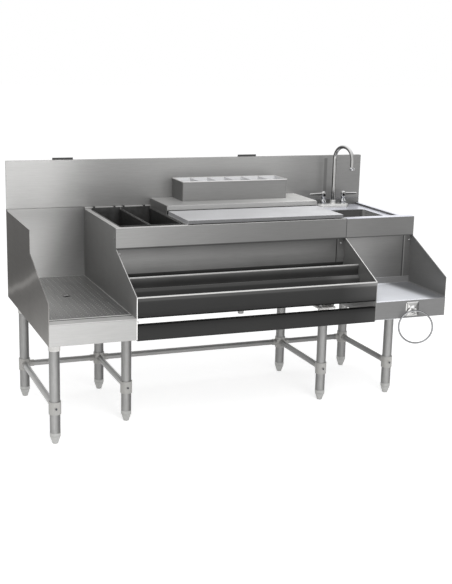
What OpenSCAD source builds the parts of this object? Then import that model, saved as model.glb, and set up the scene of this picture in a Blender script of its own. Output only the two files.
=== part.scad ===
// Underbar bar station: drainboard, insulated ice bin with speed rails, and hand sink with faucet.
// Built with x from the left end, y from the wall (the front is negative) and z from the floor.

/* [Station] */
// Width over both end panels
total_w = 1676; // [1560:1:1800]
// Width of the drainboard section
left_w = 332; // [300:1:380]
// Width of the sink section
right_w = 328; // [310:1:380]
// Height of the bin rim above the floor
work_h = 800; // [760:1:880]
// Distance from the wall to the upper front
upper_d = 537; // [500:1:600]
// Distance from the wall to the lower front
lower_d = 822; // [780:1:900]
// Height of the lower edge of the body above the floor
base_z = 424; // [400:1:450]
// Thickness of the sheet metal
sheet = 1.5; // [1:0.1:2.5]
// Inside radius of the sheet metal bends
bend_r = 5; // [2:0.5:6]
// Width of folded-back edges
hem_w = 9; // [5:0.5:14]
// Depth of the return flanges along lower edges
return_w = 15; // [8:0.5:24]
// Running gap around pieces that lift or slide
clear = 0.3; // [0.2:0.05:0.8]
// Height of the upper aprons
apron_h = 84; // [60:1:100]
// Height at which the slanted sides meet the lower front
slant_z = 586; // [560:1:620]

/* [Backsplash] */
// Rise of the backsplash above the bin rim
splash_rise = 212; // [150:1:260]
// Depth of the backsplash box
splash_d = 25; // [18:0.5:40]
// Height of the raised rim that the backsplash stands on
seam_rise = 8; // [5:0.5:14]
// Height of the folded lips at the back of the backsplash
splash_lip = 30; // [20:1:50]
// Thickness of the wall clips
clip_t = 2; // [1.5:0.1:3]
// Width of each wall clip
clip_w = 90; // [50:1:120]
// Rise of the wall clips above the backsplash
clip_rise = 8; // [4:0.5:16]
// Height of the wall clip hooks
clip_hook = 18; // [10:0.5:26]

/* [Drainboard] */
// Setback of the left end panel's top from the upper front
left_setback = 42; // [20:1:70]
// Height of the drainboard surface above the floor
drain_z = 506; // [490:1:530]
// Depth of the ledge in front of the drainboard insert
drain_ledge = 66; // [40:1:90]
// Width of the ledges beside the insert
drain_side = 3; // [2:0.5:20]
// Depth of the pan below the insert
drain_pan_h = 25; // [18:0.5:40]
// Diameter of the finger hole in the insert
finger_d = 28; // [20:0.5:34]
// Diameter of the drain holes in the insert
perf_d = 6; // [4:0.5:8]
// Spacing of the drain holes in the insert
perf_pitch = 24; // [20:1:40]
// Diameter of the pan drain spout
spout_hole_d = 26; // [20:0.5:34]
// Length of the pan drain spout
spout_len = 40; // [20:1:60]

/* [Ice bin] */
// Width of the side and front rims
rim_w = 22; // [16:0.5:34]
// Depth of the ice bin liner
bin_h = 305; // [260:1:320]
// Corner radius of the liner
bin_r = 12; // [8:0.5:25]
// Height of the collar around the liner opening
collar_h = 15; // [8:0.5:24]
// Thickness of the foam under the liner
foam_t = 30; // [20:0.5:34]
// Distance from the upper front back to the bin front panel
panel_setback = 15; // [10:1:20]
// Width of the lap along the right edge of the front panels
lap_w = 35; // [20:1:50]
// Position of the partition from the left end
part_x = 629; // [600:1:680]
// Thickness of the partition
part_w = 12; // [10:0.5:16]
// Position of the ice bin drain from the left end
bin_drain_x = 967; // [900:1:1050]
// Diameter of the ice bin drain flange
bin_drain_d = 64; // [50:1:80]
// Diameter of the ice bin drain pipe
bin_pipe_d = 26.7; // [20:0.1:34]
// Height of the lower end of the ice bin drain pipe
bin_pipe_z = 355; // [300:1:400]

/* [Bottle racks] */
// Depth of the bottle racks
rack_h = 262; // [200:1:280]
// Wall thickness of the bottle racks
rack_t = 3; // [1.5:0.1:3.2]
// Drop of the racks' top edge below the rim
rack_drop = 3; // [1:0.5:12]
// Width of the bottle rack hooks
hook_w = 8; // [6:0.5:18]
// Diameter of the bottle holes in the rack shelf
bottle_d = 92; // [80:1:100]

/* [Lids] */
// Height of the rear lid above the rim
rear_lid_h = 39; // [34:0.5:50]
// Height of the front edge of the rear lid
lid_edge = 20; // [16:0.5:26]
// Share of the lids' depth that the rear lid takes
lid_share = 0.48; // [0.4:0.01:0.55]
// Space between the two lids, front to back
lid_gap = 7; // [5:1:20]
// Height of the gap where the front lid passes under the rear lid
lid_under = 2; // [1:0.5:6]
// Play between the front lid and the flanges beside it
lid_play = 2; // [1:0.1:4]
// Height of the finger gap below the front edge of the front lid
lid_rise = 4; // [2:0.5:8]
// Rim left free in front of the front lid
lid_setback = 7; // [3:0.5:10]
// Overlap of the lids onto the right rim
lid_lap = 9; // [6:0.5:14]

/* [Condiment box] */
// Distance from the left end of the rear lid to the condiment box
box_left = 103.5; // [60:0.5:140]
// Distance from the condiment box to the right end of the rear lid
box_right = 105.7; // [60:0.1:140]
// Depth of the condiment box
box_d = 138; // [110:1:150]
// Height of the condiment box
box_h = 87; // [80:1:110]
// Corner radius of the condiment box
box_r = 6; // [3:0.5:10]
// Height of the rolled top edge of the condiment box
box_rim = 7; // [4:0.5:10]
// Projection of the rolled top edge
box_roll = 3; // [2:0.5:5]
// Number of condiment pans
pans = 6; // [4:1:8]
// Depth of the condiment pans
pan_h = 83; // [60:1:84]
// Wall thickness of the condiment pans
pan_t = 2; // [1.5:0.1:3]
// Corner radius of the condiment pans
pan_r = 8; // [4:0.5:12]

/* [Speed rails] */
// Depth of the rear tier, front to back
tier_d = 139; // [120:1:150]
// Height of the rear tier's front edge above the floor
tier_top = 629; // [600:1:660]
// Height of the rear tier's floor
tier_floor = 540; // [530:1:560]
// Height of the front tier's front edge above the floor
rail_top = 589; // [575:1:600]
// Height of the front tier's floor
rail_floor = 505; // [495:1:515]
// Depth of the front tier's sloped back
rail_slope = 34.5; // [20:0.5:50]
// Height where the front tier's sloped back ends
rail_back_z = 583; // [560:1:600]
// Height of the doubled edge along the rails
rail_hem = 17; // [10:0.5:24]
// Bevel along the lower front edge of the front tier
rail_bevel = 6; // [3:0.5:12]
// Height of the lower bar
bar_h = 61; // [50:1:70]
// Depth of the lower bar
bar_d = 25; // [18:0.5:40]
// Drop of the lower bar below the body
bar_drop = 5; // [0:0.5:10]

/* [Sink] */
// Drop of the sink deck below the bin rim
deck_drop = 23; // [16:0.5:34]
// Depth of the rim in front of the sink deck
deck_front = 38; // [28:0.5:50]
// Height of the rim at the right of the sink deck
deck_side_h = 9; // [6:0.5:14]
// Width of the rim at the right of the sink deck
deck_side_w = 16; // [12:0.5:24]
// Width of the sink bowl
bowl_w = 228; // [200:1:254]
// Distance from the bowl back to the faucet base
bowl_back = 60; // [40:1:80]
// Depth of the sink bowl
bowl_h = 229; // [180:1:240]
// Corner radius of the sink bowl
bowl_r = 22; // [12:0.5:40]
// Distance from the deck front to the bowl
bowl_front = 14; // [8:0.5:24]
// Shift of the bowl to the right of the section's middle
bowl_shift = 0; // [-10:0.5:10]
// Diameter of the sink drain flange
drain_flange_d = 89; // [76:0.5:110]
// Diameter of the sink tailpiece
tail_d = 38.1; // [31:0.1:41]
// Length of the sink tailpiece
tail_len = 60; // [40:1:80]
// Height of the shelf surface in front of the sink
shelf_z = 502; // [490:1:530]
// Height of the upstand behind the shelf
shelf_back = 28; // [18:1:40]

/* [Faucet] */
// Distance from the wall to the faucet's centre line
faucet_y = 95; // [80:1:120]
// Spacing of the faucet stems
faucet_cc = 101.6; // [90:0.1:120]
// Length of the faucet base
faucet_w = 158; // [145:1:180]
// Depth of the faucet base
faucet_d = 50; // [42:1:60]
// Height of the faucet base
faucet_h = 18; // [12:0.5:26]
// Outside diameter of the bonnets
bonnet_d = 30; // [24:0.5:36]
// Height of the bonnets
bonnet_h = 35; // [25:0.5:45]
// Length of the levers from the stem
lever_len = 72; // [55:1:85]
// Height of the lever hubs
hub_h = 24; // [18:0.5:32]
// Outside diameter of the lever hubs
hub_d = 26; // [20:0.5:30]
// Diameter of the spout tube
spout_d = 17.5; // [14:0.1:20]
// Radius of the gooseneck, to the middle of the tube
goose_r = 59; // [50:1:80]
// Rise of the spout tube above the deck to the start of the bend
goose_rise = 228; // [180:1:260]
// Drop of the spout end below the middle of the bend
goose_drop = 30; // [12:1:40]
// Diameter of the aerator
aerator_d = 23; // [20:0.5:32]
// Height of the aerator
aerator_h = 12; // [8:0.5:28]
// Turn of the spout to the right of straight ahead
spout_turn = 15; // [0:1:40]
// Diameter of the supply shanks
shank_d = 20.9; // [18:0.1:24]
// Length of the supply shanks below the deck
shank_len = 58; // [40:1:80]

/* [Towel ring] */
// Size of the ring's wall plate
plate_w = 60; // [48:1:72]
// Thickness of the ring's wall plate
plate_t = 4; // [2:0.5:6]
// Distance from the apron to the ring
ring_out = 36; // [28:1:44]
// Mean diameter of the ring
ring_d = 137; // [110:1:150]
// Diameter of the ring's wire
ring_wire = 7; // [5:0.5:9]
// Turn of the ring about the vertical
ring_turn = 28; // [0:1:35]
// Distance of the ring's bracket from the right end
ring_right = 159; // [120:1:200]

/* [Legs] */
// Outside diameter of the legs
leg_d = 41.3; // [38:0.1:45]
// Wall thickness of the legs
leg_t = 1.5; // [1:0.1:2.5]
// Position of the outer left legs from the left end
leg_left = 48; // [40:1:60]
// Position of the legs under the bin's left end, from the section's edge
leg_bin_left = 46; // [40:1:60]
// Position of the legs under the bin's right end, from the section's edge
leg_bin_right = 89; // [60:1:110]
// Position of the outer right legs from the right end
leg_right = 89; // [60:1:110]
// Distance from the wall to the rear legs
leg_rear = 94; // [80:1:110]
// Distance from the wall to the front legs
leg_front = 526; // [500:1:560]
// Distance from the wall to the front leg of the drainboard
leg_front_left = 689; // [640:1:720]
// Height of the leg sockets
socket_h = 46; // [36:1:60]
// Wall thickness of the leg sockets
socket_t = 3; // [2:0.5:5]
// Width of the square socket flanges
flange_w = 80; // [70:1:90]
// Thickness of the socket flanges
flange_t = 6; // [4:0.5:8]
// Height of the rails' middle above the floor
rail_z = 145; // [120:1:200]
// Diameter of the side and rear rails
rail_d = 25.4; // [20:0.1:30]
// Height of the leg clamps
clamp_h = 50; // [40:1:60]
// Wall thickness of the leg clamps
clamp_t = 3.4; // [2:0.1:5]
// Length of the rail sockets on the clamps
clamp_boss = 16; // [10:0.5:24]
// Height of the feet below the legs
foot_h = 45; // [36:1:60]
// Diameter of a foot at the floor
foot_d = 24; // [20:0.5:34]
// Diameter of the collar at the top of a foot
foot_collar_d = 43; // [40:0.5:48]
// Height of the collar at the top of a foot
foot_collar_h = 12; // [8:0.5:16]
// Diameter of the foot stems
stem_d = 12; // [10:0.5:16]
// Length of the foot stems
stem_len = 60; // [45:1:80]
// Height of the inserts in the legs
insert_h = 24; // [16:1:30]

/* [Hidden] */

$fn = 48;
// Overrun of cuts
over = 1;
// Flats in a quarter bend
bend_steps = 4;

// Section edges, left to right
bin_x0 = left_w;
bin_x1 = total_w - right_w;
// Inner faces of the panels beside each section
bin_in0 = bin_x0 + sheet;
bin_in1 = bin_x1 - sheet;
right_in0 = bin_x1;
right_in1 = total_w - sheet;

// Backsplash levels
splash_back = -clip_t;
splash_face = -clip_t - splash_d;
splash_z0 = work_h + seam_rise;
splash_z1 = work_h + splash_rise;

// Bin opening
open_x0 = bin_x0 + rim_w;
open_x1 = bin_x1 - rim_w;
open_y0 = -upper_d + rim_w;
open_y1 = splash_face - rim_w + bend_r;
liner_gap = 0.2;
liner_z = work_h - sheet - bin_h;
shell_z = liner_z - sheet - foam_t;
apron_z = work_h - apron_h;

// Ring reach sets the depth of the whole station
ring_y = -lower_d - ring_out;
total_d = -ring_y + ring_d / 2 * sin(ring_turn) + ring_wire / 2;

// Depths that follow the upper front
panel_d = upper_d - panel_setback;
left_top_d = upper_d - left_setback;

// Geometry of folded sheets

function unit(v) = v / norm(v);
function turn_left(v) = [-v.y, v.x];

// Point i of a line moved by t to its left, mitred where the line turns
function moved(p, i, t) =
    let (last = len(p) - 1,
         before = turn_left(i > 0 ? unit(p[i] - p[i - 1]) : unit(p[1] - p[0])),
         after = i < last ? turn_left(unit(p[i + 1] - p[i])) : before)
    p[i] + t * (before + after) / (1 + before * after);

function rotated(v, a) = [v.x * cos(a) - v.y * sin(a), v.x * sin(a) + v.y * cos(a)];

// Arc of radius r that rounds the corner at b between a and c
function corner_arc(a, b, c, r) =
    let (u = unit(a - b), v = unit(c - b), half = acos(u * v) / 2,
         middle = b + unit(u + v) * r / sin(half),
         start = b + u * r / tan(half) - middle,
         way = cross(-u, v) > 0 ? 1 : -1,
         sweep = way * (180 - 2 * half))
    [for (k = [0 : bend_steps]) middle + rotated(start, sweep * k / bend_steps)];

// Line p with every inner corner rounded
function bent(p, r) = concat([p[0]],
    [for (i = [1 : len(p) - 2]) each corner_arc(p[i - 1], p[i], p[i + 1], r)], [p[len(p) - 1]]);

// Outline of a sheet whose outer face follows p, with the metal on the left of p
module sheet_outline(p, t = sheet) {
    polygon(concat(p, [for (i = [len(p) - 1 : -1 : 0]) moved(p, i, t)]));
}

// Shape drawn in y and z, run along x
module along_x(x0, x1) {
    translate([x0, 0, 0]) rotate([90, 0, 90]) linear_extrude(x1 - x0) children();
}

// Shape drawn in x and z, run along y
module along_y(y0, y1) {
    translate([0, y1, 0]) rotate([90, 0, 0]) linear_extrude(y1 - y0) children();
}

// Block between two corners
module block(low, high) {
    translate(low) cube(high - low);
}

// Rectangle with round corners between two corners
module round_rect(low, high, r) {
    translate(low + [r, 0]) square(high - low - [2 * r, 0]);
    translate(low + [0, r]) square(high - low - [0, 2 * r]);
    for (x = [low.x + r, high.x - r], y = [low.y + r, high.y - r]) translate([x, y]) circle(r);
}

// Solid tub with round upright corners and a round lower edge
module tub(low, high, r) {
    translate([0, 0, low.z + r]) linear_extrude(high.z - low.z - r)
        round_rect([low.x, low.y], [high.x, high.y], r);
    block([low.x + r, low.y + r, low.z], [high.x - r, high.y - r, low.z + r]);
    for (x = [low.x + r, high.x - r]) {
        translate([x, high.y - r, low.z + r]) rotate([90, 0, 0])
            cylinder(r = r, h = high.y - low.y - 2 * r);
    }
    for (y = [low.y + r, high.y - r]) {
        translate([low.x + r, y, low.z + r]) rotate([0, 90, 0])
            cylinder(r = r, h = high.x - low.x - 2 * r);
        for (x = [low.x + r, high.x - r]) translate([x, y, low.z + r]) sphere(r);
    }
}

module ring(outer_r, inner_r, h) {
    difference() {
        cylinder(r = outer_r, h = h);
        translate([0, 0, -over]) cylinder(r = inner_r, h = h + 2 * over);
    }
}

// Moves the station so that its footprint is centred
module placed() {
    translate([-total_w / 2, total_d / 2, 0]) children();
}

// Upright band of a hem beside the edge from a to b, with the metal on the left of the edge
module hem_band(a, b) {
    side = turn_left(unit(b - a)) * hem_w;
    polygon([a, b, b + side, a + side]);
}

// Side panel from x0, hemmed along its slanted and lower front edges above hem_z
module side_panel(x0, outline, hem_side, hem_z) {
    last = len(outline) - 1;
    hem_x = x0 + hem_side * sheet;
    along_x(x0, x0 + sheet) polygon(outline);
    along_x(hem_x, hem_x + sheet) intersection() {
        polygon(outline);
        translate([-lower_d, hem_z]) square([lower_d, work_h]);
        union() {
            hem_band(outline[last - 1], outline[last]);
            hem_band(outline[last], outline[0]);
        }
    }
}

// Backsplash

module backsplash() {
    outer = bent([[splash_back, splash_z1 - splash_lip], [splash_back, splash_z1],
        [splash_face, splash_z1], [splash_face, splash_z0], [splash_back, splash_z0],
        [splash_back, splash_z0 + splash_lip]], bend_r / 2);
    color([0.66, 0.67, 0.69]) {
        along_x(0, total_w) sheet_outline(outer);
        for (x = [0, total_w - sheet]) {
            along_x(x, x + sheet) polygon(outer);
        }
    }
}

clip_z0 = splash_z1 - splash_lip - clip_hook;
clip_depth = 3 * clip_t;

// Wall clip whose hook stands behind the upper lip of the backsplash
module wall_clip(x) {
    along_x(x, x + clip_w) {
        translate([-clip_t, clip_z0]) square([clip_t, splash_z1 + clip_rise - clip_z0]);
        translate([-clip_depth - clip_t, clip_z0]) square([clip_depth + clip_t, clip_t]);
        translate([-clip_depth - clip_t, clip_z0]) square([clip_t, 2 * clip_hook]);
    }
}

clip_places_share = [0.12, 0.63];

module wall_clips() {
    color([0.25, 0.25, 0.26]) for (share = clip_places_share) wall_clip(total_w * share);
}

// Drainboard section

panel_back = splash_back;
left_outline = [[-lower_d, base_z], [panel_back, base_z], [panel_back, splash_z0],
    [splash_face, splash_z0], [splash_face, work_h], [-left_top_d, work_h],
    [-left_top_d, work_h - apron_h - seam_rise], [-lower_d, slant_z]];

// Flange turned in along the lower edge of an end panel
module foot_flange(x0, x1) {
    block([x0, -lower_d + return_w + sheet, base_z], [x1, splash_face - sheet, base_z + sheet]);
}

module left_end_panel() {
    color([0.5, 0.5, 0.51]) {
        side_panel(0, left_outline, 1, drain_z);
        foot_flange(0, return_w);
    }
}

module left_back_panel() {
    color([0.6, 0.6, 0.62]) along_x(sheet, bin_x0)
        sheet_outline([[splash_face - sheet, base_z], [splash_face - sheet, splash_z0 - sheet],
            [splash_face, splash_z0 - sheet], [splash_face, splash_z0], [panel_back, splash_z0]]
            , -sheet);
}

drain_back = splash_face - sheet;
insert_x0 = sheet + drain_side;
insert_x1 = bin_x0 - drain_side;
insert_y0 = -lower_d + drain_ledge;
insert_y1 = drain_back - drain_side;
pan_floor = drain_z - sheet - drain_pan_h;
spout_y = (insert_y0 + insert_y1) / 2 - drain_ledge;

// Pan with a sunken middle, a level ledge around it and an apron in front
module drainboard_pan() {
    middle_x = (insert_x0 + insert_x1) / 2;
    color([0.78, 0.79, 0.8]) {
        difference() {
            union() {
                block([sheet, insert_y0 - sheet, drain_z - sheet],
                    [bin_x0, drain_back, drain_z]);
                block([insert_x0 - sheet, insert_y0 - sheet, pan_floor - sheet],
                    [insert_x1 + sheet, insert_y1 + sheet, drain_z]);
                translate([middle_x, spout_y, pan_floor - spout_len])
                    cylinder(d = spout_hole_d, h = spout_len);
            }
            block([insert_x0, insert_y0, pan_floor], [insert_x1, insert_y1, drain_z + over]);
            translate([middle_x, spout_y, pan_floor - spout_len - over])
                cylinder(d = spout_hole_d - 2 * sheet, h = spout_len + 2 * over);
        }
        along_x(sheet, bin_x0) sheet_outline(concat([[insert_y0 - sheet, drain_z]],
            corner_arc([insert_y0, drain_z], [-lower_d, drain_z], [-lower_d, base_z], bend_r),
            [[-lower_d, base_z], [-lower_d + return_w, base_z]]));
    }
}

insert_low = [insert_x0 + clear, insert_y0 + clear];
insert_high = [insert_x1 - clear, insert_y1 - clear];
insert_mid = (insert_low + insert_high) / 2;
insert_margin = finger_d;
perf_cols = floor((insert_high.x - insert_low.x - 2 * insert_margin) / perf_pitch);
perf_rows = floor((insert_high.y - insert_low.y - 2 * insert_margin) / perf_pitch);

// Tray turned over, with drain holes in rows and a finger hole in the middle
module drainboard_insert() {
    color([0.42, 0.43, 0.44]) difference() {
        block([insert_low.x, insert_low.y, pan_floor],
            [insert_high.x, insert_high.y, drain_z]);
        block([insert_low.x + sheet, insert_low.y + sheet, pan_floor - over],
            [insert_high.x - sheet, insert_high.y - sheet, drain_z - sheet]);
        translate([0, 0, drain_z - sheet - over]) linear_extrude(sheet + 2 * over) {
            translate(insert_mid) circle(d = finger_d);
            for (i = [0 : perf_cols], j = [0 : perf_rows]) {
                place = insert_mid + [i - perf_cols / 2, j - perf_rows / 2] * perf_pitch;
                if (norm(place - insert_mid) > finger_d) translate(place) circle(d = perf_d);
            }
        }
    }
}

// Panels beside the bin

bin_panel_outline = concat([[-lower_d, base_z], [panel_back, base_z], [panel_back, work_h - sheet]],
    corner_arc([0, work_h - sheet], [-upper_d + sheet, work_h - sheet],
        [-upper_d + sheet, apron_z], bend_r),
    [[-upper_d + sheet, apron_z], [-lower_d, slant_z]]);

module centre_left_panel() {
    color([0.46, 0.46, 0.47]) side_panel(bin_x0, bin_panel_outline, 1, base_z);
}

module divider_panel() {
    color([0.46, 0.46, 0.47]) side_panel(bin_in1, bin_panel_outline, -1, base_z);
}

// Ice bin

// Rim plate with a collar around the opening, a raised rear rim and a front apron
module bin_top() {
    low = [open_x0, open_y0];
    high = [open_x1, open_y1];
    color([0.72, 0.73, 0.74]) {
        translate([0, 0, work_h - sheet]) linear_extrude(sheet) difference() {
            translate([bin_x0, -upper_d + 2 * bend_r])
                square([bin_x1 - bin_x0, upper_d - 2 * bend_r + panel_back]);
            round_rect(low, high, bin_r);
        }
        translate([0, 0, work_h - collar_h]) linear_extrude(collar_h - sheet) difference() {
            round_rect(low - [sheet, sheet], high + [sheet, sheet], bin_r + sheet);
            round_rect(low, high, bin_r);
        }
        along_x(bin_x0, bin_x1) sheet_outline(concat([[-upper_d + 2 * bend_r, work_h]],
            corner_arc([0, work_h], [-upper_d, work_h], [-upper_d, apron_z], bend_r),
            [[-upper_d, apron_z]]));
        block([bin_in0, -upper_d, apron_z], [bin_in1, -panel_d, apron_z + sheet]);
        along_x(bin_x0, bin_x1) sheet_outline(concat([[panel_back, splash_z0]],
            corner_arc([panel_back, splash_z0], [open_y1, splash_z0], [open_y1, work_h],
                bend_r / 2), [[open_y1, work_h - sheet]]));
        for (x = [bin_x0, bin_x1 - sheet]) {
            block([x, open_y1 + bend_r, work_h], [x + sheet, panel_back, splash_z0 - sheet]);
        }
    }
}

liner_low = [open_x0 - sheet - liner_gap, open_y0 - sheet - liner_gap];
liner_high = [open_x1 + sheet + liner_gap, open_y1 + sheet + liner_gap];
liner_r = bin_r + sheet + liner_gap;
bin_drain_y = (open_y0 + open_y1) / 2 - rim_w;
drain_body_r = bin_pipe_d / 2 + bend_r;

module ice_bin_liner() {
    color([0.7, 0.71, 0.72]) difference() {
        tub([liner_low.x - sheet, liner_low.y - sheet, liner_z - sheet],
            [liner_high.x + sheet, liner_high.y + sheet, work_h - sheet], liner_r + sheet);
        tub([liner_low.x, liner_low.y, liner_z],
            [liner_high.x, liner_high.y, work_h + liner_r], liner_r);
        translate([bin_drain_x, bin_drain_y, liner_z - sheet - over])
            cylinder(r = drain_body_r + clear, h = sheet + 2 * over);
    }
}

shell_front = -panel_d + sheet;

module bin_insulation() {
    color([0.9, 0.85, 0.6]) difference() {
        block([bin_in0 + sheet, shell_front + sheet, shell_z + sheet],
            [bin_in1 - sheet, splash_face - sheet, work_h - collar_h]);
        tub([liner_low.x - sheet, liner_low.y - sheet, liner_z - sheet],
            [liner_high.x + sheet, liner_high.y + sheet, work_h + liner_r], liner_r + sheet);
        translate([bin_drain_x, bin_drain_y, shell_z])
            cylinder(r = drain_body_r + clear, h = foam_t + over);
    }
}

module ice_bin_shell() {
    color([0.6, 0.61, 0.62]) difference() {
        block([bin_in0, shell_front, shell_z], [bin_in1, splash_face, work_h - sheet]);
        block([bin_in0 + sheet, shell_front + sheet, shell_z + sheet],
            [bin_in1 - sheet, splash_face - sheet, work_h]);
        translate([bin_drain_x, bin_drain_y, shell_z - over])
            cylinder(r = drain_body_r + clear, h = sheet + 2 * over);
    }
}

// Front panel from z0 up, with a lap along its right edge above lap_z
module front_panel(x0, x1, z0, lap_z) {
    block([x0, -panel_d, z0], [x1, -panel_d + sheet, apron_z + apron_h / 2]);
    block([x1 - lap_w, -panel_d - sheet, lap_z], [x1, -panel_d, apron_z]);
}

module bin_front_panel() {
    color([0.55, 0.56, 0.57]) front_panel(bin_in0, bin_in1, shell_z, tier_top);
}

// Strainer flange and body through the bin floor, with the pipe below it
module ice_bin_drain() {
    pipe_r = bin_pipe_d / 2;
    flange_r = bin_drain_d / 2;
    step_z = shell_z - bend_r;
    color([0.75, 0.75, 0.77]) translate([bin_drain_x, bin_drain_y, 0]) rotate_extrude()
        polygon([[pipe_r - sheet, bin_pipe_z], [pipe_r, bin_pipe_z], [pipe_r, step_z],
            [drain_body_r, step_z], [drain_body_r, liner_z], [flange_r, liner_z],
            [flange_r - sheet, liner_z + sheet], [drain_body_r - sheet, liner_z + sheet],
            [drain_body_r - sheet, step_z + sheet], [pipe_r - sheet, step_z + sheet]]);
}

part_in = [liner_low.y + clear, liner_high.y - clear];

// Folded partition that parts the bottle wells from the ice
module well_partition() {
    color([0.68, 0.69, 0.7]) difference() {
        intersection() {
            block([part_x, part_in[0], liner_z], [part_x + part_w, part_in[1], work_h]);
            tub([part_x - 2 * liner_r, part_in[0], liner_z],
                [part_x + part_w + 2 * liner_r, part_in[1], work_h + liner_r], liner_r);
        }
        block([part_x + sheet, part_in[0] + liner_r, liner_z - over],
            [part_x + part_w - sheet, part_in[1] - liner_r, work_h - sheet]);
        for (y = [part_in[0] - over, open_y1 - clear]) {
            block([part_x - over, y, work_h - collar_h - clear],
                [part_x + part_w + over, y + over + open_y0 - part_in[0] + clear,
                work_h + over]);
        }
    }
}

// Bottle racks

rack_z1 = work_h - rack_drop;
rack_gap = 5;
rack_x0 = open_x0 + bin_r * 2 / 3;
rack_split = (open_x0 + part_x) / 2;
rack_y0 = open_y0 + 2 * rim_w;
rack_y1 = open_y1 - rack_gap * clear;
hook_places_share = [0.08, 0.8];

// Two hooks that reach over the raised rear rim
module rack_hooks(x0, x1) {
    hook = [[rack_y1 - rack_t, rack_z1], [rack_y1 - rack_t, splash_z0 + clear + rack_t],
        [splash_face - clear - rack_t, splash_z0 + clear + rack_t]];
    for (share = hook_places_share) {
        middle = x0 + (x1 - x0) * share;
        along_x(middle - hook_w / 2, middle + hook_w / 2) sheet_outline(hook, -rack_t);
    }
}

// Open-topped rack with round holes for bottles in its floor and a raised back
module bottle_rack(x0, x1) {
    middle_x = (x0 + x1) / 2;
    holes = floor((rack_y1 - rack_y0) / (bottle_d + 3 * hook_w));
    pitch = (rack_y1 - rack_y0) / holes;
    difference() {
        block([x0, rack_y0, rack_z1 - rack_h], [x1, rack_y1, rack_z1]);
        block([x0 + rack_t, rack_y0 + rack_t, rack_z1 - rack_h + rack_t],
            [x1 - rack_t, rack_y1 - rack_t, rack_z1 + over]);
        for (i = [0 : holes - 1]) {
            translate([middle_x, rack_y0 + pitch * (i + 1 / 2), rack_z1 - rack_h - over])
                cylinder(d = bottle_d, h = rack_t + 2 * over);
        }
    }
    block([x0, rack_y1 - rack_t, rack_z1], [x1, rack_y1, splash_z0 - rack_drop]);
    rack_hooks(x0, x1);
}

module bottle_rack_left() {
    color([0.12, 0.12, 0.13]) bottle_rack(rack_x0, rack_split - rack_gap / 2);
}

module bottle_rack_right() {
    color([0.12, 0.12, 0.13]) bottle_rack(rack_split + rack_gap / 2, part_x - rack_gap);
}

// Lids

lid_x0 = part_x + sheet;
lid_x1 = open_x1 + lid_lap;
lid_y1 = splash_face - clear;
front_y0 = -upper_d + lid_setback;
lid_y0 = lid_y1 - (lid_y1 - front_y0) * lid_share;
lid_z1 = work_h + rear_lid_h;

// Rear lid on tall end flanges, so that the front lid can pass under it
module rear_lid() {
    ends = bent([[lid_x0, work_h], [lid_x0, lid_z1], [lid_x1, lid_z1], [lid_x1, work_h]], bend_r / 2);
    front = bent([[lid_y1, splash_z0], [lid_y1, lid_z1], [lid_y0, lid_z1],
        [lid_y0, lid_z1 - lid_edge]], bend_r / 2);
    color([0.85, 0.86, 0.88]) {
        along_y(lid_y0 + bend_r, open_y1 - clear) sheet_outline(ends, -sheet);
        along_x(lid_x0 + bend_r, lid_x1 - bend_r) sheet_outline(front);
        for (x = [lid_x0, lid_x1 - sheet]) {
            block([x, lid_y0, lid_z1 - lid_edge], [x + sheet, lid_y0 + bend_r, lid_z1 - bend_r / 2]);
            block([x, open_y1 - clear, splash_z0], [x + sheet, lid_y1, lid_z1 - bend_r / 2]);
        }
        for (x = [lid_x0, lid_x1 - bend_r]) {
            block([x, lid_y0, lid_z1 - bend_r / 2 - sheet], [x + bend_r, lid_y1, lid_z1 - bend_r / 2]);
            block([x, lid_y0, lid_z1 - lid_edge], [x + bend_r, lid_y0 + sheet, lid_z1 - bend_r / 2]);
            block([x, lid_y1 - sheet, splash_z0], [x + bend_r, lid_y1, lid_z1 - bend_r / 2]);
        }
    }
}

front_x0 = lid_x0 + sheet + lid_play;
front_x1 = lid_x1 - sheet - lid_play;
front_y1 = lid_y0 - lid_gap;
front_z0 = work_h + clear;
front_z1 = lid_z1 - lid_edge - lid_under;

// Front lid, a shallow tray turned over, with its front edge clear of the rim
module front_lid() {
    color([0.85, 0.86, 0.88]) difference() {
        block([front_x0, front_y0, front_z0], [front_x1, front_y1, front_z1]);
        block([front_x0 + sheet, front_y0 + sheet, front_z0 - over],
            [front_x1 - sheet, front_y1 - sheet, front_z1 - sheet]);
        block([front_x0 + sheet, front_y0 - over, front_z0 - over],
            [front_x1 - sheet, front_y0 + sheet + over, work_h + lid_rise]);
    }
}

// Condiment box

box_y1 = lid_y1 - 2 * clear - box_roll;
box_low = [lid_x0 + box_left, box_y1 - box_d];
box_high = [lid_x1 - box_right, box_y1];
box_z0 = lid_z1;
box_z1 = box_z0 + box_h;

module condiment_box() {
    edge = [box_roll, box_roll];
    wall = [sheet, sheet];
    color([0.72, 0.72, 0.73]) {
        translate([0, 0, box_z0]) linear_extrude(sheet) round_rect(box_low, box_high, box_r);
        translate([0, 0, box_z0]) linear_extrude(box_h) difference() {
            round_rect(box_low, box_high, box_r);
            round_rect(box_low + wall, box_high - wall, box_r - sheet);
        }
        translate([0, 0, box_z1 - box_rim]) linear_extrude(box_rim) difference() {
            round_rect(box_low - edge, box_high + edge, box_r + box_roll);
            round_rect(box_low + wall, box_high - wall, box_r - sheet);
        }
    }
}

cell_w = (box_high.x - box_low.x - 2 * sheet - clear) / pans;

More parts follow.
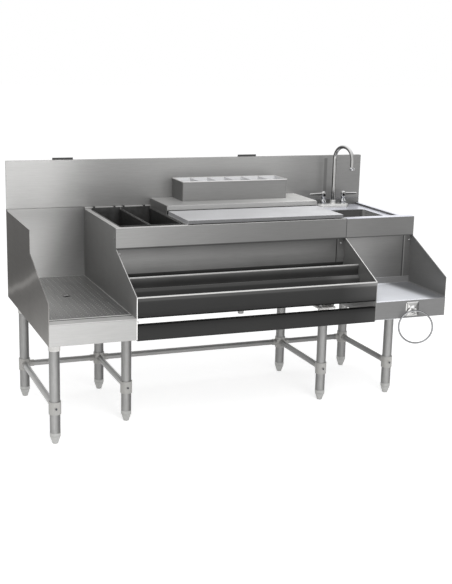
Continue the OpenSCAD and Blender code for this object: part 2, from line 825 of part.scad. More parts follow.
// Plastic pans side by side in the box
module condiment_pans() {
    low_y = box_low.y + sheet + clear;
    high_y = box_high.y - sheet - clear;
    pan_z = box_z0 + sheet;
    color([0.95, 0.95, 0.93]) for (i = [0 : pans - 1]) {
        low_x = box_low.x + sheet + clear + i * cell_w;
        high_x = low_x + cell_w - clear;
        difference() {
            translate([0, 0, pan_z]) linear_extrude(pan_h)
                round_rect([low_x, low_y], [high_x, high_y], pan_r);
            translate([0, 0, pan_z + pan_t]) linear_extrude(pan_h)
                round_rect([low_x + pan_t, low_y + pan_t], [high_x - pan_t, high_y - pan_t],
                    pan_r - pan_t);
        }
    }
}

// Speed rails

rail_x0 = bin_in0 + sheet;
rail_x1 = bin_in1 - sheet;
tier_back = -panel_d;
tier_front = tier_back - tier_d;

// Doubled edge along the top of a rail, with round ends to the fold
module rail_edge(y, z) {
    translate([y - sheet, z - rail_hem]) square([sheet, rail_hem - sheet]);
    translate([y, z - sheet]) circle(r = sheet, $fn = 24);
}

module speed_rail_rear() {
    color([0.24, 0.24, 0.25]) along_x(rail_x0, rail_x1) {
        sheet_outline(bent([[tier_front, tier_top - sheet], [tier_front, tier_floor],
            [tier_back, tier_floor], [tier_back, tier_top - rail_hem]], bend_r));
        rail_edge(tier_front, tier_top);
    }
}

rail_end = tier_front - 2 * sheet;

module speed_rail_front() {
    front = -lower_d + sheet;
    color([0.24, 0.24, 0.25]) along_x(rail_x0, rail_x1) {
        sheet_outline(concat([[front, rail_top - sheet], [front, rail_floor + rail_bevel],
            [front + rail_bevel, rail_floor]],
            corner_arc([front, rail_floor], [rail_end - rail_slope, rail_floor],
                [rail_end, rail_back_z], bend_r),
            [[rail_end, rail_back_z]]));
        rail_edge(front, rail_top);
    }
}

bar_z0 = base_z - bar_drop;

// Channel across the front below the rails
module lower_bar() {
    color([0.24, 0.24, 0.25]) along_x(bin_in0 + sheet, bin_in1 - sheet) sheet_outline(bent([
        [-lower_d + bar_d, bar_z0], [-lower_d, bar_z0], [-lower_d, bar_z0 + bar_h],
        [-lower_d + bar_d, bar_z0 + bar_h]], bend_r / 2), -sheet);
}

// Sink section

deck_z = work_h - deck_drop;
deck_y0 = -upper_d + deck_front;
deck_y1 = splash_face - sheet;
deck_x1 = total_w - deck_side_w;
side_z = deck_z + deck_side_h;
bowl_x = (right_in0 + deck_x1) / 2 + bowl_shift;
bowl_low = [bowl_x - bowl_w / 2, deck_y0 + bowl_front];
bowl_high = [bowl_x + bowl_w / 2, -faucet_y - faucet_d / 2 - bowl_back];
faucet_at = [bowl_x, -faucet_y, deck_z];

// Recessed deck with a bowl opening, raised edges and a front apron
module sink_deck() {
    color([0.82, 0.83, 0.85]) {
        difference() {
            block([right_in0, deck_y0, deck_z - sheet], [deck_x1, deck_y1, deck_z]);
            translate([0, 0, deck_z - sheet - over]) linear_extrude(sheet + 2 * over)
                round_rect(bowl_low, bowl_high, bowl_r);
            for (side = [-1, 1]) {
                translate(faucet_at + [side * faucet_cc / 2, 0, -sheet - over])
                    cylinder(r = shank_body_r + clear, h = sheet + 2 * over);
            }
        }
        block([right_in0, deck_y0, deck_z], [right_in1, deck_y0 + sheet, work_h - sheet]);
        along_x(right_in0, total_w) sheet_outline(concat([[deck_y0 + sheet, work_h]],
            corner_arc([0, work_h], [-upper_d, work_h], [-upper_d, apron_z], bend_r),
            [[-upper_d, apron_z]]));
        block([right_in0, -upper_d, apron_z], [right_in1, -panel_d, apron_z + sheet]);
        along_x(right_in0, right_in1) sheet_outline([[deck_y1, deck_z - sheet],
            [deck_y1, splash_z0 - sheet], [panel_back, splash_z0 - sheet]]);
        along_y(deck_y0, deck_y1) sheet_outline([[deck_x1, deck_z - sheet], [deck_x1, side_z - sheet],
            [total_w, side_z - sheet]]);
        block([right_in0, deck_y0, deck_z], [right_in0 + sheet, deck_y1, work_h - sheet]);
    }
}

// Coved bowl welded under the deck
module sink_bowl() {
    wall = [sheet, sheet, 0];
    low = [bowl_low.x, bowl_low.y, deck_z - bowl_h];
    high = [bowl_high.x, bowl_high.y, deck_z - sheet];
    color([0.72, 0.73, 0.75]) difference() {
        tub(low - wall - [0, 0, sheet], high + wall, bowl_r + sheet);
        tub(low, high + [0, 0, bowl_r], bowl_r);
        translate([bowl_x, (low.y + high.y) / 2, low.z - sheet - over])
            cylinder(d = drain_flange_d - 4 * bend_r, h = sheet + 2 * over);
    }
}

// Basket strainer with its tailpiece
module sink_drain() {
    floor_z = deck_z - bowl_h;
    flange_r = drain_flange_d / 2;
    body_r = flange_r - 2 * bend_r - clear;
    tail_r = tail_d / 2;
    cup_h = tail_d;
    color([0.75, 0.75, 0.77]) translate([bowl_x, (bowl_low.y + bowl_high.y) / 2, floor_z])
        rotate_extrude() polygon([[tail_r - sheet, -cup_h - tail_len], [tail_r, -cup_h - tail_len],
            [tail_r, -cup_h], [body_r, -cup_h + bend_r], [body_r, 0], [flange_r, 0],
            [flange_r - sheet, sheet], [body_r - sheet, sheet],
            [body_r - sheet, -cup_h + bend_r + sheet], [tail_r - sheet, -cup_h + sheet]]);
}

module sink_front_panel() {
    color([0.55, 0.56, 0.57]) front_panel(right_in0, right_in1, shelf_z - sheet, shelf_z + shelf_back);
}

right_outline = concat([[-lower_d, base_z], [panel_back, base_z], [panel_back, splash_z0],
    [splash_face, splash_z0], [splash_face, side_z - sheet], [deck_y0, side_z - sheet],
    [deck_y0, work_h - sheet]],
    corner_arc([0, work_h - sheet], [-upper_d + sheet, work_h - sheet],
        [-upper_d + sheet, apron_z], bend_r),
    [[-upper_d + sheet, apron_z], [-lower_d, slant_z]]);

module right_end_panel() {
    color([0.5, 0.5, 0.51]) {
        side_panel(right_in1, right_outline, -1, shelf_z);
        foot_flange(total_w - return_w, total_w);
    }
}

module right_back_panel() {
    color([0.6, 0.6, 0.62]) block([right_in0, splash_face - sheet, base_z],
        [right_in1, splash_face, deck_z - sheet]);
}

// Shelf with a coved upstand behind it and an apron in front
module blender_shelf() {
    back = -panel_d - sheet;
    color([0.8, 0.81, 0.83]) along_x(right_in0, right_in1) sheet_outline(bent([
        [back, shelf_z + shelf_back], [back, shelf_z], [-lower_d, shelf_z],
        [-lower_d, base_z], [-lower_d + return_w, base_z]], bend_r));
}

// Faucet

base_top = deck_z + faucet_h;
shank_body_r = shank_d / 2 + over;
stem_r = 4;
stem_gap = 0.06;

// Long base with a collar for the spout
module faucet_base() {
    collar_r = spout_d / 2 + 5 * stem_gap + bend_r;
    color([0.85, 0.86, 0.88]) translate(faucet_at) difference() {
        union() {
            linear_extrude(faucet_h * 0.7)
                round_rect([-faucet_w, -faucet_d] / 2, [faucet_w, faucet_d] / 2, faucet_d / 2 - over);
            linear_extrude(faucet_h)
                round_rect([-faucet_w, -faucet_d] / 2 + [bend_r, bend_r],
                    [faucet_w, faucet_d] / 2 - [bend_r, bend_r], faucet_d / 2 - over - bend_r);
            cylinder(r = collar_r, h = 2 * faucet_h);
        }
        translate([0, 0, faucet_h / 2])
            cylinder(r = spout_d / 2 + stem_gap, h = 2 * faucet_h);
    }
}

// Bonnets over the valve stems
module faucet_bonnets() {
    color([0.85, 0.86, 0.88]) for (side = [-1, 1]) {
        translate([faucet_at.x + side * faucet_cc / 2, faucet_at.y, base_top]) {
            cylinder(d1 = bonnet_d, d2 = bonnet_d * 0.8, h = bonnet_h * 0.6);
            cylinder(d = bonnet_d * 0.62, h = bonnet_h);
            cylinder(r = stem_r, h = bonnet_h + hub_h / 2);
        }
    }
}

// Hub with a lever that points along x on the side given
module lever_handle(side) {
    hub_z = base_top + bonnet_h + clear;
    blade_t = hub_h / 4;
    color([0.85, 0.86, 0.88])
        translate([faucet_at.x + side * faucet_cc / 2, faucet_at.y, hub_z]) difference() {
            union() {
                cylinder(d1 = hub_d * 0.8, d2 = hub_d, h = hub_h * 0.6);
                translate([0, 0, hub_h * 0.6]) cylinder(d1 = hub_d, d2 = hub_d * 0.5, h = hub_h * 0.4);
                mirror([side < 0 ? 1 : 0, 0, 0]) translate([0, 0, hub_h / 3]) {
                    linear_extrude(blade_t) {
                        polygon([[0, -hub_d * 0.26], [lever_len - hub_d / 3, -hub_d * 0.3],
                            [lever_len - hub_d / 3, hub_d * 0.3], [0, hub_d * 0.26]]);
                        translate([lever_len - hub_d * 0.3, 0]) circle(d = hub_d * 0.6);
                    }
                }
            }
            translate([0, 0, -over]) cylinder(r = stem_r + stem_gap, h = hub_h / 2 + 2 * over);
        }
}

module handle_left() {
    lever_handle(-1);
}

module handle_right() {
    lever_handle(1);
}

goose_z = deck_z + goose_rise;
seat_z = deck_z + faucet_h;

// Riser and gooseneck, turned as a whole about the riser
module faucet_spout() {
    color([0.85, 0.86, 0.88]) translate([faucet_at.x, faucet_at.y, 0]) rotate([0, 0, spout_turn]) {
        translate([0, 0, seat_z]) cylinder(d = spout_d, h = goose_z - seat_z);
        translate([0, -goose_r, goose_z]) rotate([90, 0, 90])
            rotate_extrude(angle = 180) translate([goose_r, 0]) circle(d = spout_d);
        translate([0, -2 * goose_r, goose_z - goose_drop]) cylinder(d = spout_d, h = goose_drop);
    }
}

module faucet_aerator() {
    color([0.85, 0.86, 0.88]) translate([faucet_at.x, faucet_at.y, 0]) rotate([0, 0, spout_turn])
        translate([0, -2 * goose_r, goose_z - goose_drop - aerator_h]) {
            difference() {
                union() {
                    cylinder(d = aerator_d * 0.86, h = aerator_h);
                    cylinder(d = aerator_d, h = aerator_h * 0.7);
                }
                translate([0, 0, -over]) cylinder(d = spout_d * 0.8, h = aerator_h / 2);
            }
        }
}

nut_h = hub_h / 3;
nut_z = deck_z - sheet - nut_h;

// Supply ends below the deck, wider where the nuts hold them
module supply_shanks() {
    inner_r = shank_d / 2 - 2 * sheet;
    step_z = nut_z - 2 * sheet;
    color([0.72, 0.6, 0.4]) for (side = [-1, 1]) {
        translate([faucet_at.x + side * faucet_cc / 2, faucet_at.y, 0]) {
            translate([0, 0, deck_z - shank_len]) ring(shank_d / 2, inner_r, shank_len);
            translate([0, 0, step_z]) ring(shank_body_r, inner_r, deck_z - step_z);
        }
    }
}

module shank_nuts() {
    color([0.72, 0.6, 0.4]) for (side = [-1, 1]) {
        translate([faucet_at.x + side * faucet_cc / 2, faucet_at.y, nut_z]) difference() {
            cylinder(d = shank_d * 1.6, h = nut_h, $fn = 6);
            translate([0, 0, -over]) cylinder(r = shank_body_r + stem_gap, h = hub_h);
        }
    }
}

// Towel ring

ring_x = total_w - ring_right;
eye_z = (base_z + shelf_z) / 2;
eye_r = ring_wire / 2 + 3 * clear;

// Wall plate with a tapered post that ends in an eye
module towel_ring_bracket() {
    post_r = ring_wire * 1.4;
    color([0.88, 0.89, 0.9]) translate([ring_x, -lower_d, eye_z]) difference() {
        union() {
            translate([0, 0, 0]) rotate([90, 0, 0]) linear_extrude(plate_t)
                round_rect([-plate_w, -plate_w] / 2, [plate_w, plate_w] / 2, bend_r);
            translate([0, -plate_t, 0]) rotate([90, 0, 0])
                cylinder(r1 = plate_w * 0.3, r2 = post_r - over, h = ring_out - plate_t - post_r / 2);
            translate([0, -ring_out, 0]) sphere(r = post_r);
        }
        translate([0, -ring_out, 0]) rotate([0, 0, -ring_turn]) rotate([0, 90, 0])
            translate([0, 0, -ring_out]) cylinder(r = eye_r, h = 2 * ring_out);
    }
}

module towel_ring() {
    color([0.88, 0.89, 0.9]) translate([ring_x, ring_y, eye_z]) rotate([0, 0, -ring_turn])
        translate([0, 0, -ring_d / 2]) rotate([90, 0, 0])
            rotate_extrude() translate([ring_d / 2, 0]) circle(d = ring_wire);
}

// Legs, listed from the left, the rear one of each pair first

leg_xs = [leg_left, bin_x0 + leg_bin_left, bin_x1 - leg_bin_right, total_w - leg_right];
leg_fronts = [leg_front_left, leg_front, leg_front, leg_front];
leg_at = [for (i = [0 : 3]) each [[leg_xs[i], -leg_rear], [leg_xs[i], -leg_fronts[i]]]];
leg_top = base_z - flange_t;
leg_r = leg_d / 2;

module legs() {
    color([0.7, 0.71, 0.72]) for (p = leg_at) {
        translate([p.x, p.y, foot_h]) ring(leg_r, leg_r - leg_t, leg_top - foot_h);
    }
}

module leg_inserts() {
    color([0.3, 0.3, 0.31]) for (p = leg_at) {
        translate([p.x, p.y, foot_h]) ring(leg_r - leg_t, stem_d / 2 + stem_gap, insert_h);
    }
}

module leg_sockets() {
    color([0.6, 0.6, 0.61]) for (p = leg_at) {
        translate([p.x, p.y, leg_top]) {
            translate([0, 0, -socket_h]) ring(leg_r + stem_gap + socket_t, leg_r + stem_gap, socket_h);
            linear_extrude(flange_t)
                round_rect([-flange_w, -flange_w] / 2, [flange_w, flange_w] / 2, bend_r);
        }
    }
}

clamp_r = leg_r + stem_gap + clamp_t;
boss_r = rail_d / 2 + stem_gap + clamp_t / 2;

// Ways in which rails leave each leg, as unit steps in x and y
function rail_ways(i) = i % 2 == 1 ? [[0, 1]] :
    concat([[0, -1]], i > 0 ? [[-1, 0]] : [], i < 6 ? [[1, 0]] : []);

// Set screws face the front on front legs and the wall on rear legs
function screw_way(i) = i % 2 == 1 ? [0, -1] : [0, 1];
screw_r = 4;
screw_h = 3;
screw_pad = 1.5;

module toward(way) {
    rotate([0, 90, atan2(way.y, way.x)]) children();
}

// Split clamps with sockets for the rails
module leg_clamps() {
    color([0.62, 0.62, 0.64]) for (i = [0 : len(leg_at) - 1]) {
        translate([leg_at[i].x, leg_at[i].y, rail_z]) difference() {
            union() {
                translate([0, 0, -clamp_h / 2]) cylinder(r = clamp_r, h = clamp_h);
                for (way = rail_ways(i)) toward(way) cylinder(r = boss_r, h = clamp_r + clamp_boss);
                toward(screw_way(i)) cylinder(r = screw_r + clamp_t / 2, h = clamp_r + screw_pad);
            }
            translate([0, 0, -clamp_h]) cylinder(r = leg_r + stem_gap, h = 2 * clamp_h);
            for (way = rail_ways(i)) {
                toward(way) translate([0, 0, clamp_r]) cylinder(r = rail_d / 2 + stem_gap, h = clamp_h);
            }
        }
    }
}

// Set screws in the clamps
module clamp_screws() {
    color([0.4, 0.4, 0.42]) for (i = [0 : len(leg_at) - 1]) {
        translate([leg_at[i].x, leg_at[i].y, rail_z]) toward(screw_way(i))
            translate([0, 0, clamp_r + screw_pad]) cylinder(r = screw_r, h = screw_h);
    }
}

// Tube between two clamps
module rail_tube(a, b) {
    way = unit(b - a);
    start = a + way * clamp_r;
    translate([start.x, start.y, rail_z]) toward(way)
        ring(rail_d / 2, rail_d / 2 - leg_t, norm(b - a) - 2 * clamp_r);
}

module side_rails() {
    color([0.7, 0.71, 0.72]) for (i = [0 : 2 : 6]) rail_tube(leg_at[i], leg_at[i + 1]);
}

module rear_rails() {
    color([0.7, 0.71, 0.72]) for (i = [0 : 2 : 4]) rail_tube(leg_at[i], leg_at[i + 2]);
}

channel_w = flange_w - 4 * bend_r;
flange_end = -lower_d + return_w;
leg_end = -leg_front - flange_w / 2;

// Front-to-back channels that the legs are bolted under, open below
module support_channels() {
    tops = [pan_floor - sheet, shell_z, shell_z, shelf_z - sheet];
    ends = [flange_end, leg_end, leg_end, flange_end];
    color([0.55, 0.56, 0.57]) for (i = [0 : 3]) {
        low = leg_xs[i] - channel_w / 2;
        high = leg_xs[i] + channel_w / 2;
        along_y(ends[i], splash_face - sheet) sheet_outline([[low + return_w, base_z], [low, base_z],
            [low, tops[i]], [high, tops[i]], [high, base_z], [high - return_w, base_z]], -sheet);
    }
}

// Screws on the panels
module panel_screws() {
    head_r = 4;
    head_h = 2;
    inset = lap_w / 2;
    front_places = [[bin_in0 + inset, -panel_d], [bin_in1 - inset, -panel_d - sheet],
        [right_in0 + inset, -panel_d], [right_in1 - inset / 2, -panel_d - sheet]];
    color([0.35, 0.35, 0.36]) {
        for (p = front_places) {
            translate([p.x, p.y, apron_z - rim_w]) rotate([90, 0, 0]) cylinder(r = head_r, h = head_h);
        }
        for (y = [-upper_d + rim_w, open_y1 - rim_w]) {
            translate([bin_x0, y, work_h - 2 * rim_w]) rotate([0, -90, 0])
                cylinder(r = head_r, h = head_h);
        }
    }
}

// Adjustable feet, each with a stem up into its leg
module foot(i) {
    collar_r = foot_collar_d / 2;
    color([0.62, 0.63, 0.64]) translate([leg_at[i].x, leg_at[i].y, 0]) rotate_extrude()
        polygon([[0, 0], [foot_d / 2, 0], [collar_r - sheet, foot_h - foot_collar_h],
            [collar_r, foot_h - foot_collar_h + sheet], [collar_r, foot_h], [stem_d / 2, foot_h],
            [stem_d / 2, foot_h + stem_len], [0, foot_h + stem_len]]);
}

placed() backsplash();
placed() wall_clips();
placed() left_end_panel();
placed() left_back_panel();
placed() drainboard_pan();
placed() drainboard_insert();
placed() centre_left_panel();
placed() divider_panel();
placed() bin_top();
placed() ice_bin_liner();
placed() bin_insulation();
placed() ice_bin_shell();
placed() bin_front_panel();
placed() ice_bin_drain();
placed() well_partition();
placed() bottle_rack_left();
placed() bottle_rack_right();
placed() rear_lid();
placed() front_lid();
placed() condiment_box();
placed() condiment_pans();
placed() speed_rail_rear();
placed() speed_rail_front();
placed() lower_bar();
placed() sink_deck();
placed() sink_bowl();
placed() sink_drain();
placed() sink_front_panel();
placed() right_end_panel();
placed() right_back_panel();
placed() blender_shelf();
placed() faucet_base();
placed() faucet_bonnets();
placed() faucet_spout();
placed() faucet_aerator();
placed() handle_left();
placed() handle_right();
placed() supply_shanks();
placed() shank_nuts();
placed() towel_ring_bracket();
placed() towel_ring();
placed() legs();
placed() leg_inserts();
placed() leg_sockets();
placed() leg_clamps();
placed() clamp_screws();
placed() side_rails();
placed() rear_rails();
placed() support_channels();
placed() panel_screws();
placed() foot(0);  // foot_1
placed() foot(1);  // foot_2
placed() foot(2);  // foot_3
placed() foot(3);  // foot_4
placed() foot(4);  // foot_5
placed() foot(5);  // foot_6
placed() foot(6);  // foot_7
placed() foot(7);  // foot_8
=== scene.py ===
"""Finishes and fine pieces for an underbar station with drainboard, ice bin and hand sink."""
import math

import bmesh
import bpy
from bpy.props import FloatProperty, FloatVectorProperty, PointerProperty
from bpy.types import Operator, Panel, PropertyGroup
from mathutils import Matrix, Vector


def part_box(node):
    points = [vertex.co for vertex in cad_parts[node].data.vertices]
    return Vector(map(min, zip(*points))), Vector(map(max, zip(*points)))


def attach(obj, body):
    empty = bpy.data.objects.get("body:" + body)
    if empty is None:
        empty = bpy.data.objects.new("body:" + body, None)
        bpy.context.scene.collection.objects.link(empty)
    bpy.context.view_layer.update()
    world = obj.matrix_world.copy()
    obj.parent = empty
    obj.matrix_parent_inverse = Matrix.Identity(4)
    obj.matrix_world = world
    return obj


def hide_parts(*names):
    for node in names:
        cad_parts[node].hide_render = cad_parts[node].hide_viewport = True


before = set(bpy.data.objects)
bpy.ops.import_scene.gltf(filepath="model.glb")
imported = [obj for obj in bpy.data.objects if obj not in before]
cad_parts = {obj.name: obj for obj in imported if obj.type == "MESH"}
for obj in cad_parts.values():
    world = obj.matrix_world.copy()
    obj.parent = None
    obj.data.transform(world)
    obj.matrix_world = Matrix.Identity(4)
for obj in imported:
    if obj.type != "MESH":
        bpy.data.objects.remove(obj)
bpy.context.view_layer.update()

bl_info = {
    "name": "Underbar Station Finishes",
    "version": (1, 0, 0),
    "blender": (4, 5, 0),
    "location": "3D View > Sidebar > Bar Station",
    "description": "Finishes and fine pieces for an underbar station",
    "category": "Object",
}

# The station's own directions: x runs to the sink, y to the wall and z up
BIN_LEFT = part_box("centre_left_panel")[0][0]
BIN_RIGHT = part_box("divider_panel")[1][0]
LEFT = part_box("backsplash")[0][0]
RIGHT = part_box("backsplash")[1][0]
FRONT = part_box("blender_shelf")[0][1]
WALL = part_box("backsplash")[0][1]
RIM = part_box("left_end_panel")[1][2]
# Corners of the painted highlight along the drainboard insert's front edge
INSERT_FRONT = (LEFT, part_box("drainboard_insert")[0][1] - 0.002, 0.4)
INSERT_EDGE = (BIN_LEFT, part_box("drainboard_insert")[0][1] + 0.009, RIM)
# Numbers of the feet
FEET = range(1, 9)
# Foot of the end panels, and the run and rise of the slant on their front edge
PANEL_FOOT = 0.424
SLANT_RUN, SLANT_RISE = 0.305, 0.953
# Ways that a face can be turned
UP = (0.0, 0.0, 1.0)
FRONTWARD = (0, -1, 0)
LEFTWARD = (-1, 0, 0)
SLANTED = (0, -0.9, 0.45)
# How squarely a face is turned where the painted light or shade on it starts and where it is full
TURN_RANGE = (0.6, 0.9)
# Bluish white painted on the tops of the sink deck: a painted highlight
BLUE_WHITE = (0.88, 0.89, 0.97)
# How squarely a face or an edge has to lie along an axis to be picked
SQUARELY = 0.9
# Points closer than this are merged, in metres
WELD = 0.00002


class StationFinishes(PropertyGroup):
    """Colours and grain of the metals and plastics"""
    steel_tint: FloatVectorProperty(
        name="Steel tint", description="Colour cast of the stainless sheet", subtype="COLOR",
        default=(1.0, 0.995, 0.98), min=0.0, max=1.0)
    grain_shade: FloatProperty(
        name="Grain shade", description="How much the brushed grain lightens and darkens the sheet",
        default=0.05, min=0.0, max=0.3)
    grain_depth: FloatProperty(
        name="Grain depth", description="Depth of the brushed grain", unit="LENGTH",
        default=0.00012, min=0.0, max=0.002)
    chrome_tint: FloatVectorProperty(
        name="Chrome tint", description="Colour of the chrome plating", subtype="COLOR",
        default=(0.86, 0.87, 0.89), min=0.0, max=1.0)
    rack_tone: FloatProperty(
        name="Rack tone", description="Screen grey of the black bottle racks, out of 255",
        default=44.0, min=0.0, max=255.0)
    pan_white: FloatVectorProperty(
        name="Pan white", description="Colour of the condiment pans", subtype="COLOR",
        default=(0.72, 0.72, 0.73), min=0.0, max=1.0)


class StationStage(PropertyGroup):
    """Camera, light and floor"""
    camera_place: FloatVectorProperty(
        name="Camera place", description="Where the camera stands", subtype="XYZ", unit="LENGTH",
        default=(-1.6259, -4.0729, 1.5251))
    camera_yaw: FloatProperty(
        name="Camera yaw", description="Turn of the camera to the right of straight on",
        subtype="ANGLE", default=math.radians(21.749))
    camera_pitch: FloatProperty(
        name="Camera pitch", description="How far the camera looks down",
        subtype="ANGLE", default=math.radians(13.255))
    camera_roll: FloatProperty(
        name="Camera roll", description="Tilt of the camera about its own axis",
        subtype="ANGLE", default=math.radians(1.397))
    focal_length: FloatProperty(
        name="Focal length", description="Focal length in millimetres on a 36 mm sensor",
        default=65.835, min=10.0, max=300.0)
    sky_strength: FloatProperty(
        name="Soft light", description="Strength of the even light from all round",
        default=0.5, min=0.0, max=3.0)
    floor_lift: FloatProperty(
        name="Floor lift", description="How much the floor shines of itself toward the camera",
        default=0.62, min=0.0, max=2.0)
    key_power: FloatProperty(
        name="Key light", description="Power of the large light above the front left",
        unit="POWER", default=80.0, min=0.0, max=1000.0)
    front_power: FloatProperty(
        name="Front light", description="Power of the large soft light beside the camera",
        unit="POWER", default=75.0, min=0.0, max=1000.0)
    top_power: FloatProperty(
        name="Top light", description="Power of the soft light straight above",
        unit="POWER", default=14.0, min=0.0, max=1000.0)


def grey(level, tint=(1.0, 1.0, 1.0)):
    """Screen grey from 0 to 255 as a linear colour; a colour stays as it is"""
    if isinstance(level, tuple):
        return level
    value = level / 255
    linear = value / 12.92 if value <= 0.04045 else ((value + 0.055) / 1.055) ** 2.4
    return tuple(linear * part for part in tint)


def fill(node, values):
    """Links sockets and sets constants on a node's inputs, by place or by name"""
    for key, value in values.items():
        if isinstance(value, bpy.types.NodeSocket):
            node.id_data.links.new(value, node.inputs[key])
        elif value is not None:
            node.inputs[key].default_value = value
    return node


def add_node(tree, kind, *values, **settings):
    """New shader node with its settings and the values of its first inputs"""
    node = tree.nodes.new("ShaderNode" + kind)
    for key, value in settings.items():
        setattr(node, key, value)
    return fill(node, dict(enumerate(values)))


def sums(tree, operation, *values):
    """Result of a math node"""
    return add_node(tree, "Math", *values, operation=operation).outputs[0]


def vectors(tree, operation, *values, output="Vector"):
    """Result of a vector math node"""
    return add_node(tree, "VectorMath", *values, operation=operation).outputs[output]


def map_range(tree, value, low, high, to_low=0.0, to_high=1.0):
    """A value carried from one range to another"""
    return add_node(tree, "MapRange", value, low, high, to_low, to_high).outputs[0]


def noise(tree, point, **values):
    """Value of a noise texture at a point"""
    return fill(add_node(tree, "TexNoise", point), values).outputs["Fac"]


def place_along(group, source):
    """How far a point lies from Start along Step, with a soft waver"""
    away = vectors(group, "SUBTRACT", source["Vector"], source["Start"])
    along = vectors(group, "DOT_PRODUCT", away, source["Step"], output="Value")
    cloud = noise(group, source["Vector"], Scale=4.5, Detail=1.5)
    centred = sums(group, "SUBTRACT", cloud, 0.5)
    return sums(group, "MULTIPLY_ADD", centred, source["Waver"], along),


def brushed_grain(group, source):
    """Fine lines of a brushed or rolled finish, as a shade about 1 and a height"""
    scaled = vectors(group, "MULTIPLY", source["Vector"], source["Lines per metre"])
    lines = noise(group, scaled, Scale=1.0, Detail=3.0)
    centred = sums(group, "SUBTRACT", lines, 0.5)
    amount = sums(group, "MULTIPLY", source["Shade Amount"], 4.0)
    return sums(group, "MULTIPLY_ADD", centred, amount, 1.0), lines


def soft_clouds(group, source):
    """Broad uneven polish and wiping marks, as a shade about 1 and a value from 0 to 1"""
    cloud = noise(group, source["Vector"], Scale=source["Marks per metre"], Detail=4.0,
                  Roughness=0.6)
    spread = map_range(group, cloud, 0.3, 0.7)
    centred = sums(group, "SUBTRACT", spread, 0.5)
    return sums(group, "MULTIPLY_ADD", centred, source["Shade Amount"], 1.0), spread


def facing(group, source):
    """1 where the surface faces Direction, 0 where it is turned away"""
    along = vectors(group, "DOT_PRODUCT", source["Normal"], source["Direction"], output="Value")
    return map_range(group, along, source["From"], source["To"]),


def between_corners(group, source):
    """1 between the corners Low and High, with a soft edge, and 0 outside"""
    above = vectors(group, "SUBTRACT", source["Vector"], source["Low"])
    below = vectors(group, "SUBTRACT", source["High"], source["Vector"])
    parts = add_node(group, "SeparateXYZ", vectors(group, "MINIMUM", above, below)).outputs
    least = sums(group, "MINIMUM", sums(group, "MINIMUM", parts[0], parts[1]), parts[2])
    return map_range(group, least, 0.0, source["Soft"]),


def dot_rows(group, source):
    """1 in round dots in rows over x and y"""
    shrink = sums(group, "DIVIDE", 1.0, source["Pitch"])
    cells = vectors(group, "SCALE", source["Vector"], None, None, shrink)
    centred = vectors(group, "SUBTRACT", vectors(group, "FRACTION", cells), (0.5, 0.5, 0.0))
    flat = vectors(group, "MULTIPLY", centred, (1.0, 1.0, 0.0))
    length = vectors(group, "LENGTH", flat, output="Value")
    reach = sums(group, "MULTIPLY", source["Radius"], shrink)
    return map_range(group, length, sums(group, "MULTIPLY", reach, 0.6), reach, 1.0, 0.0),


NODE_GROUPS = {
    "Place Along": (place_along, {"Vector": None, "Start": None, "Step": None, "Waver": 0.0},
                    ("Place",)),
    "Brushed Grain": (brushed_grain, {"Vector": None, "Lines per metre": (6.0, 6.0, 900.0),
                                      "Shade Amount": 0.05}, ("Shade", "Height")),
    "Soft Clouds": (soft_clouds, {"Vector": None, "Marks per metre": 7.0, "Shade Amount": 0.05},
                    ("Shade", "Mark")),
    "Facing": (facing, {"Normal": None, "Direction": (0.0, 0.0, 1.0), "From": 0.6, "To": 0.9},
               ("Mask",)),
    "Between Corners": (between_corners, {"Vector": None, "Low": (0.0, 0.0, 0.0),
                                          "High": (1.0, 1.0, 1.0), "Soft": 0.0015}, ("Mask",)),
    "Dot Rows": (dot_rows, {"Vector": None, "Pitch": 0.012, "Radius": 0.003}, ("Mask",)),
}


def shared_group(name):
    """One of the shared node groups, made when it is first asked for"""
    if name in bpy.data.node_groups:
        return bpy.data.node_groups[name]
    build, inputs, outputs = NODE_GROUPS[name]
    group = bpy.data.node_groups.new(name, "ShaderNodeTree")
    for label, value in inputs.items():
        kind = "NodeSocketFloat" if isinstance(value, float) else "NodeSocketVector"
        socket = group.interface.new_socket(name=label, in_out="INPUT", socket_type=kind)
        if value is not None:
            socket.default_value = value
    for label in outputs:
        group.interface.new_socket(name=label, in_out="OUTPUT", socket_type="NodeSocketFloat")
    source = group.nodes.new("NodeGroupInput").outputs
    fill(group.nodes.new("NodeGroupOutput"), dict(zip(outputs, build(group, source))))
    return group


def use_group(tree, name, **values):
    """Outputs of a shared node group; values are sockets or constants by input name"""
    node = add_node(tree, "Group", node_tree=shared_group(name))
    return fill(node, {key.replace("_", " "): value for key, value in values.items()}).outputs


def mix_colour(tree, factor, low, high):
    """Colour between two colours, each a socket or a constant"""
    low, high = (value if isinstance(value, bpy.types.NodeSocket) else (*value[:3], 1.0)
                 for value in (low, high))
    node = add_node(tree, "Mix", data_type="RGBA", blend_type="MIX")
    return fill(node, {0: factor, 6: low, 7: high}).outputs[2]


def shade_colour(tree, colour, shade):
    """Colour times a shade about 1"""
    return vectors(tree, "SCALE", colour, None, None, shade)


def tone_ramp(tree, place, tones, tint):
    """Colour ramp with a grey at each of the places given"""
    node = add_node(tree, "ValToRGB", place)
    ramp = node.color_ramp
    ramp.interpolation = "B_SPLINE" if len(tones) > 2 else "LINEAR"
    while len(ramp.elements) < len(tones):
        ramp.elements.new(0.5)
    for element, (at, level) in zip(ramp.elements, sorted(tones)):
        element.position = at
        element.color = (*grey(level, tint), 1.0)
    return node.outputs["Color"]


def run_place(tree, point, start, end, waver=0.0):
    """Place of a point from 0 at start to 1 at end"""
    start, run = Vector(start), Vector(end) - Vector(start)
    return use_group(tree, "Place Along", Vector=point, Start=start,
                     Step=run / run.length_squared, Waver=waver)["Place"]


